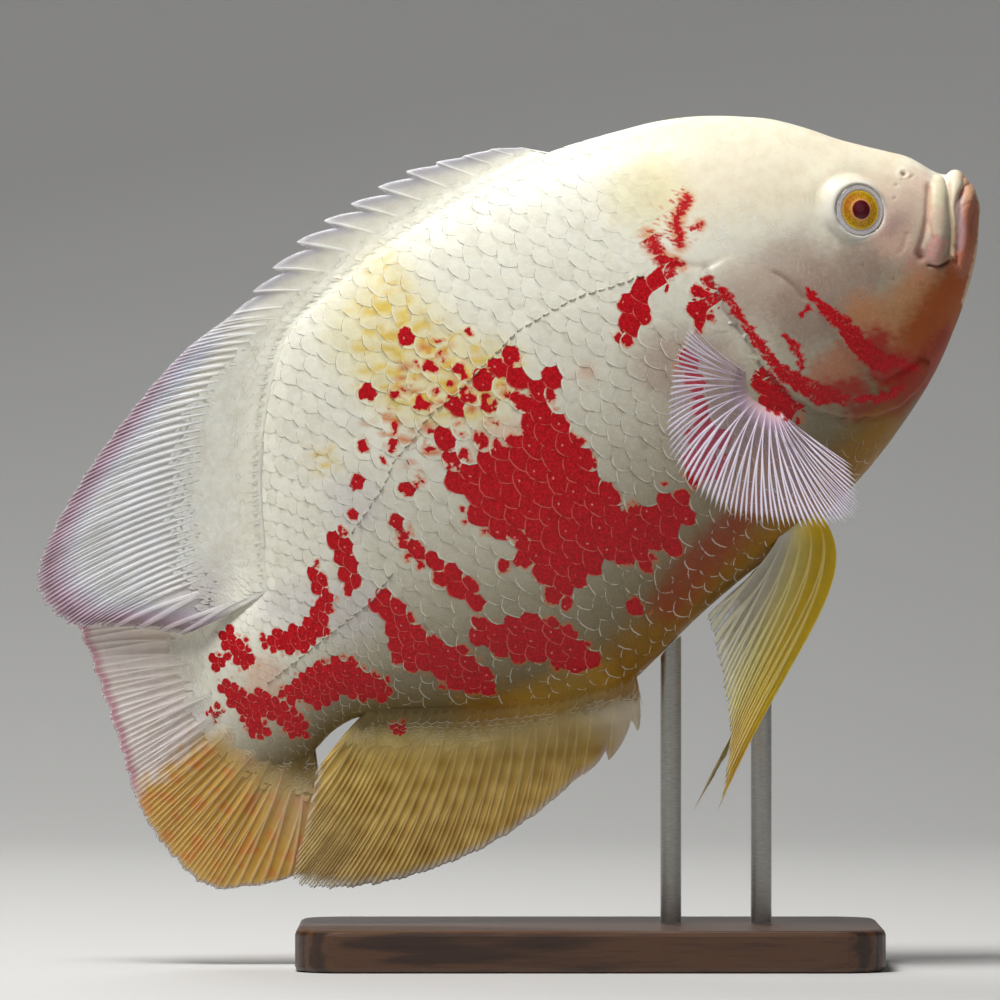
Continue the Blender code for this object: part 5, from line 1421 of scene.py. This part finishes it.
finLooks = {
    "dorsal": {"forks": softForks, "steps": 18, "rows": 62, "root": 4.0, "end": 0.42, "middle": 1.2, "joint": 1,
               "bareFrom": 20, "ridge": 0.12, "spines": 11.5, "toViewer": 3.4, "rayWidth": 0.07, "rayShare": 0.4,
               "rayTone": (250, 248, 246), "webShare": 0.3, "webTone": (146, 142, 146), "dots": 0.8,
               "tones": dorsalTones, "clear": True, "blend": (0, 10),
               "opened": lambda s, h, q, t, deep, edge: 0.85 * (1 - ease(edge, 0.5, 7)) * (1 - ease(h, 44, 60))
               * ease(s, 225, 245)},
    "anal": {"forks": softForks, "steps": 20, "rows": 56, "root": 4.0, "end": 0.42, "middle": 1.1, "joint": -1,
             "bareFrom": 12, "ridge": 0.05, "spines": 3.0, "toViewer": 3.4, "rayWidth": 0.07, "rayShare": 0.22,
             "rayTone": (240, 226, 180), "webShare": 0.14, "webTone": (128, 98, 40), "dots": 0.5,
             "tones": analTones, "clear": True, "blend": (-1, 9),
             "opened": lambda s, h, q, t, deep, edge: 0.85 * (1 - ease(edge, 0.5, 6)) * ease(s, 240, 252)
             * ease(h, -58, -44)},
    "caudal": {"forks": softForks, "steps": 26, "rows": 58, "root": 5.0, "end": 0.40, "middle": 1.3, "flare": 0.0,
               "bareFrom": 20, "ridge": 0.05, "folds": 0.3, "rayWidth": 0.06, "rayShare": 0.22, "rayTone": (246, 238, 222),
               "webShare": 0.12, "webTone": (140, 112, 84), "dots": 0.9, "tones": caudalTones,
               "opened": closedWeb, "blend": (0, 14), "fringe": 0.006},
    "pectoral": {"forks": fewForks, "steps": 16, "rows": 46, "root": 1.0, "end": 0.34, "middle": 0.8, "flare": 0.8,
                 "ridge": 0.06, "thick": 0.26, "bend": 0.5, "rayWidth": 0.09, "rayShare": 0.8,
                 "rayTone": (244, 236, 250), "webShare": 0.5, "webTone": (200, 144, 184), "tones": pectoralTones,
                 "clear": True, "blend": (-1, 2), "fringe": 0.07,
                 "opened": lambda s, h, q, t, deep, edge: 0.9 * ease(t, 0.06, 0.3)},
    "pelvic": {"forks": fewForks, "steps": 30, "rows": 58, "root": 1.0, "end": 0.38, "middle": 0.95, "flare": 1.2,
               "ridge": 0.12, "bend": 0.3, "rayWidth": 0.11, "rayShare": 0.4, "rayTone": (252, 246, 196),
               "webShare": 0.3, "webTone": (150, 132, 60), "tones": pelvicTones, "clear": True,
               "blend": (-1, 4), "fringe": 0.02,
               "opened": lambda s, h, q, t, deep, edge: 0.8 * ease(t, 0.45, 0.8) * ease(q, 1.5, 3.5)},
}


def addFin(name, keys, look, finish, node):
    sheet = FinSheet(name, keys, look)
    mesh = sheet.mesh()
    mesh.materials.append(finish)
    piece = linked(mesh, name)
    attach(piece, "root")
    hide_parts(node)
    print(name, len(mesh.polygons))
    return sheet


for kind, word in (("dorsal", "dorsalWeb"), ("anal", "analWeb"), ("caudal", "tailWeb")):
    look = finLooks[kind]
    sheet = addFin(kind + "Fin", fromSideView(finForm[kind], look["root"]), look, finFinish(word, look),
                   kind + "_fin")
    reach = {"dorsal": lambda q: 5 + 19 * ease(q, 11.5, 19) - 6 * ease(q, 28, 32),
             "anal": lambda q: 4 + 6 * ease(q, 4, 10), "caudal": lambda q: 12 + 0 * q}[kind]
    for left in (False, True):
        sheet.granules(kind + "Scales", kind + "_fin", reach, 3.2, 1.15, left)
pectoralWeb = finFinish("pectoralWeb", finLooks["pectoral"])
pelvicWeb = finFinish("pelvicWeb", finLooks["pelvic"])
for word, sign in (("Right", -1), ("Left", 1)):
    side = word.lower()
    addFin("pectoralFin" + word, paired(finForm["pectoral"], sign), finLooks["pectoral"], pectoralWeb,
           "pectoral_fin_" + side)
    spread = (finForm["leftPelvicTurn"], finForm["leftPelvicLength"]) if sign > 0 else ()
    addFin("pelvicFin" + word, paired(finForm["pelvic"], sign, *spread), finLooks["pelvic"], pelvicWeb,
           "pelvic_fin_" + side)

# ---- eyes

def makeEye(word, sign):
    centre, axis = eyePlace()
    centre, axis = centre.copy(), axis.copy()
    centre[2] *= sign
    axis[2] *= sign
    bm = bmesh.new()
    bmesh.ops.create_uvsphere(bm, u_segments=72, v_segments=72, radius=1)
    for v in bm.verts:
        r = math.hypot(v.co.x, v.co.y) * eyeForm["radius"]
        z = v.co.z * eyeForm["depth"]
        if v.co.z > 0:
            # the ring and iris are flatter than the ball, and the lens stands out of the pupil
            flat = 2.15 + 0.9 * float(1 - ease(r, 1.0, 7.2))
            z += (flat - z) * float(1 - ease(r, 6.6, 7.4))
            z -= 0.12 * float(ease(5.9 - r, 0, 0.4)) * float(ease(r, 2.8, 3.3))
            z += 0.22 * float(1 - ease(r, 0.5, 2.9))
        scale = r / max(math.hypot(v.co.x, v.co.y), 1e-9)
        v.co = (v.co.x * scale, v.co.y * scale, z)
    mesh = bpy.data.meshes.new("eye" + word)
    for f in bm.faces:
        f.smooth = True
    bm.to_mesh(mesh)
    bm.free()
    places = np.array([v.co[:] for v in mesh.vertices])
    radii = np.hypot(places[:, 0], places[:, 1]) + np.where(places[:, 2] < 0, 50, 0)
    ahead = Vector((-axis[0], axis[2], axis[1]))
    place = Matrix.Translation((-centre[0], centre[2], centre[1])) \
        @ Vector((0, 0, 1)).rotation_difference(ahead).to_matrix().to_4x4()
    mesh.transform(place)
    own = np.array([v.co[:] for v in mesh.vertices])
    mesh.transform(turning)
    # the iris's own up: toward the back and a little to the rear
    high = ((own[:, 2] - centre[1]) * 0.85 - (own[:, 0] + centre[0]) * 0.5) / eyeForm["iris"]
    setAttribute(mesh, "radius", radii)
    setAttribute(mesh, "high", high)
    mesh.materials.append(eyeFinish())
    piece = linked(mesh, "eye" + word)
    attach(piece, "root")
    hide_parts("eye_" + word.lower())
    return piece


def eyeFinish():
    made = bpy.data.materials.get("eyeGloss")
    if made:
        return made
    material, paint, shader = newFinish("eyeGloss", Roughness=0.22, Coat_Weight=0.6, Coat_Roughness=0.05,
                                        IOR=1.38)
    r = masked(paint, "radius")
    here = placed(paint)
    speck = grain(paint, here, 2600, 3, 0.6)
    streak = grain(paint, here, 900, 2, 0.5)
    r = r + (streak - 0.5) * 0.3
    pupil = 1 - r.between(2.62, 2.82)
    halo = r.between(2.6, 2.9) * (1 - r.between(3.1, 3.5))
    iris = 1 - r.between(5.55, 5.8)
    gold = speck.between(0.35, 0.65).mixed(tone(190, 126, 6), tone(240, 190, 40))
    upper = masked(paint, "high").between(0.15, 0.85)
    gold = (upper * 0.85 * streak.between(0.25, 0.5)).mixed(gold, tone(196, 66, 14))
    outer = r.between(4.9, 5.3) * iris
    gold = (outer * 0.5).mixed(gold, tone(250, 224, 60))
    ring = speck.between(0.35, 0.7).mixed(tone(214, 204, 208), tone(242, 236, 234))
    thin = r.between(5.55, 5.8) * (1 - r.between(5.95, 6.25))
    ring = (thin * 0.6).mixed(ring, tone(150, 120, 96))
    colour = iris.mixed(ring, gold)
    colour = (halo * 0.85).mixed(colour, tone(248, 166, 110))
    colour = pupil.mixed(colour, tone(96, 10, 24))
    feed(colour, shader, "Base Color")
    return material


for word, sign in (("Right", -1), ("Left", 1)):
    makeEye(word, sign)
print("eyes ready")

# ---- stand

def standFinishes():
    material, paint, shader = newFinish("satinWood", Coat_Weight=0.25, Coat_Roughness=0.25)
    here = placed(paint)
    long = paint.node("ShaderNodeMapping", {}, {"Vector": here, "Scale": (1.0, 9.0, 9.0)})
    rings = paint.node("ShaderNodeTexWave", {"bands_direction": "Y"},
                       {"Vector": long, "Scale": 9.0, "Distortion": 5.0, "Detail": 4.0, "Detail Scale": 1.4})
    pores = grain(paint, paint.node("ShaderNodeMapping", {}, {"Vector": here, "Scale": (60.0, 900.0, 900.0)}),
                  1.0, 4, 0.6)
    colour = rings.between(0.2, 0.8).mixed(tone(58, 36, 22), tone(92, 60, 38))
    colour = (pores.between(0.5, 0.75) * 0.6).mixed(colour, tone(34, 20, 12))
    feed(colour, shader, "Base Color")
    feed(0.34 + 0.2 * pores, shader, "Roughness")
    feed(bumped(paint, pores + rings * 0.3, 0.0003, 0.35), shader, "Normal")
    steel, paint, shader = newFinish("brushedSteel", Metallic=1.0)
    here = placed(paint)
    brushed = grain(paint, paint.node("ShaderNodeMapping", {}, {"Vector": here, "Scale": (400.0, 400.0, 9000.0)}),
                    1.0, 3, 0.6)
    feed(brushed.between(0.3, 0.7).mixed(tone(168, 166, 160), tone(206, 204, 198)), shader, "Base Color")
    feed(0.24 + 0.22 * brushed, shader, "Roughness")
    feed(bumped(paint, brushed, 0.0001, 0.3), shader, "Normal")
    return material, steel


satinWood, brushedSteel = standFinishes()
for node, finish in (("stand_base", satinWood), ("stand_rod_front", brushedSteel), ("stand_rod_rear", brushedSteel)):
    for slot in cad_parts[node].material_slots:
        slot.material = finish
print("stand ready")

# ---- floor, light and camera

studio = {
    "floorTone": (206, 205, 202),
    "worldTone": (0.80, 0.82, 0.86), "worldLight": 0.10,
    "lights": [
        # place, aim, size, watts
        ((-0.32, -0.32, 1.30), (-0.03, 0.0, 0.15), 0.5, 18.5),
        ((0.9, -1.1, 0.7), (0.0, 0.0, 0.13), 0.9, 0.5),
        ((-0.4, 0.9, 1.0), (0.0, 0.0, 0.16), 0.8, 6.0)],
    "away": 2.75, "frameWidth": 0.288,
    "middle": (-0.1377, -0.085),      # the picture's middle from the snout, along X and Z
}


def makeFloor():
    # a level floor that sweeps up behind the fish
    bm = bmesh.new()
    bmesh.ops.create_grid(bm, x_segments=2, y_segments=48, size=1)
    for v in bm.verts:
        t = (v.co.y + 1) / 2 * 5.0 - 2.0      # metres along the sweep
        x = v.co.x * 4
        bend, radius = 1.0, 0.9
        if t < bend:
            y, z = t, 0.0
        else:
            angle = min((t - bend) / radius, math.pi / 2)
            y = bend + radius * math.sin(angle)
            z = radius * (1 - math.cos(angle)) + max(0.0, t - bend - radius * math.pi / 2)
        v.co = (x, y, z)
    for f in bm.faces:
        f.smooth = True
    bmesh.ops.recalc_face_normals(bm, faces=bm.faces)
    mesh = bpy.data.meshes.new("floor")
    bm.to_mesh(mesh)
    bm.free()
    material, paint, shader = newFinish("paleFloor", Roughness=0.75)
    shader.inputs["Base Color"].default_value = tone(*studio["floorTone"])
    mesh.materials.append(material)
    floor = linked(mesh, "floor")


def makeLights():
    for i, (place, aim, size, watts) in enumerate(studio["lights"]):
        light = bpy.data.lights.new("soft" + str(i), "AREA")
        light.shape = "DISK"
        light.size = size
        light.energy = watts
        lamp = bpy.data.objects.new("soft" + str(i), light)
        lamp.location = place
        lamp.rotation_euler = (Vector(aim) - Vector(place)).to_track_quat("-Z", "Y").to_euler()
        bpy.context.scene.collection.objects.link(lamp)
    world = bpy.data.worlds.new("studio")
    world.use_nodes = True
    sky = world.node_tree.nodes["Background"]
    sky.inputs["Color"].default_value = (*studio["worldTone"], 1.0)
    sky.inputs["Strength"].default_value = studio["worldLight"]
    bpy.context.scene.world = world


def makeCamera():
    data = bpy.data.cameras.new("camera")
    data.sensor_fit = "HORIZONTAL"
    data.sensor_width = 36.0
    data.lens = 36.0 * studio["away"] / studio["frameWidth"]
    data.clip_start = 0.05
    data.clip_end = 30
    camera = bpy.data.objects.new("camera", data)
    x, z = snout.x + studio["middle"][0], snout.z + studio["middle"][1]
    camera.location = (x, snout.y - studio["away"], z)
    camera.rotation_euler = (math.radians(90), 0, 0)
    bpy.context.scene.collection.objects.link(camera)
    bpy.context.scene.camera = camera


makeFloor()
makeLights()
makeCamera()
bpy.context.scene.view_settings.view_transform = "Standard"
print("studio ready")
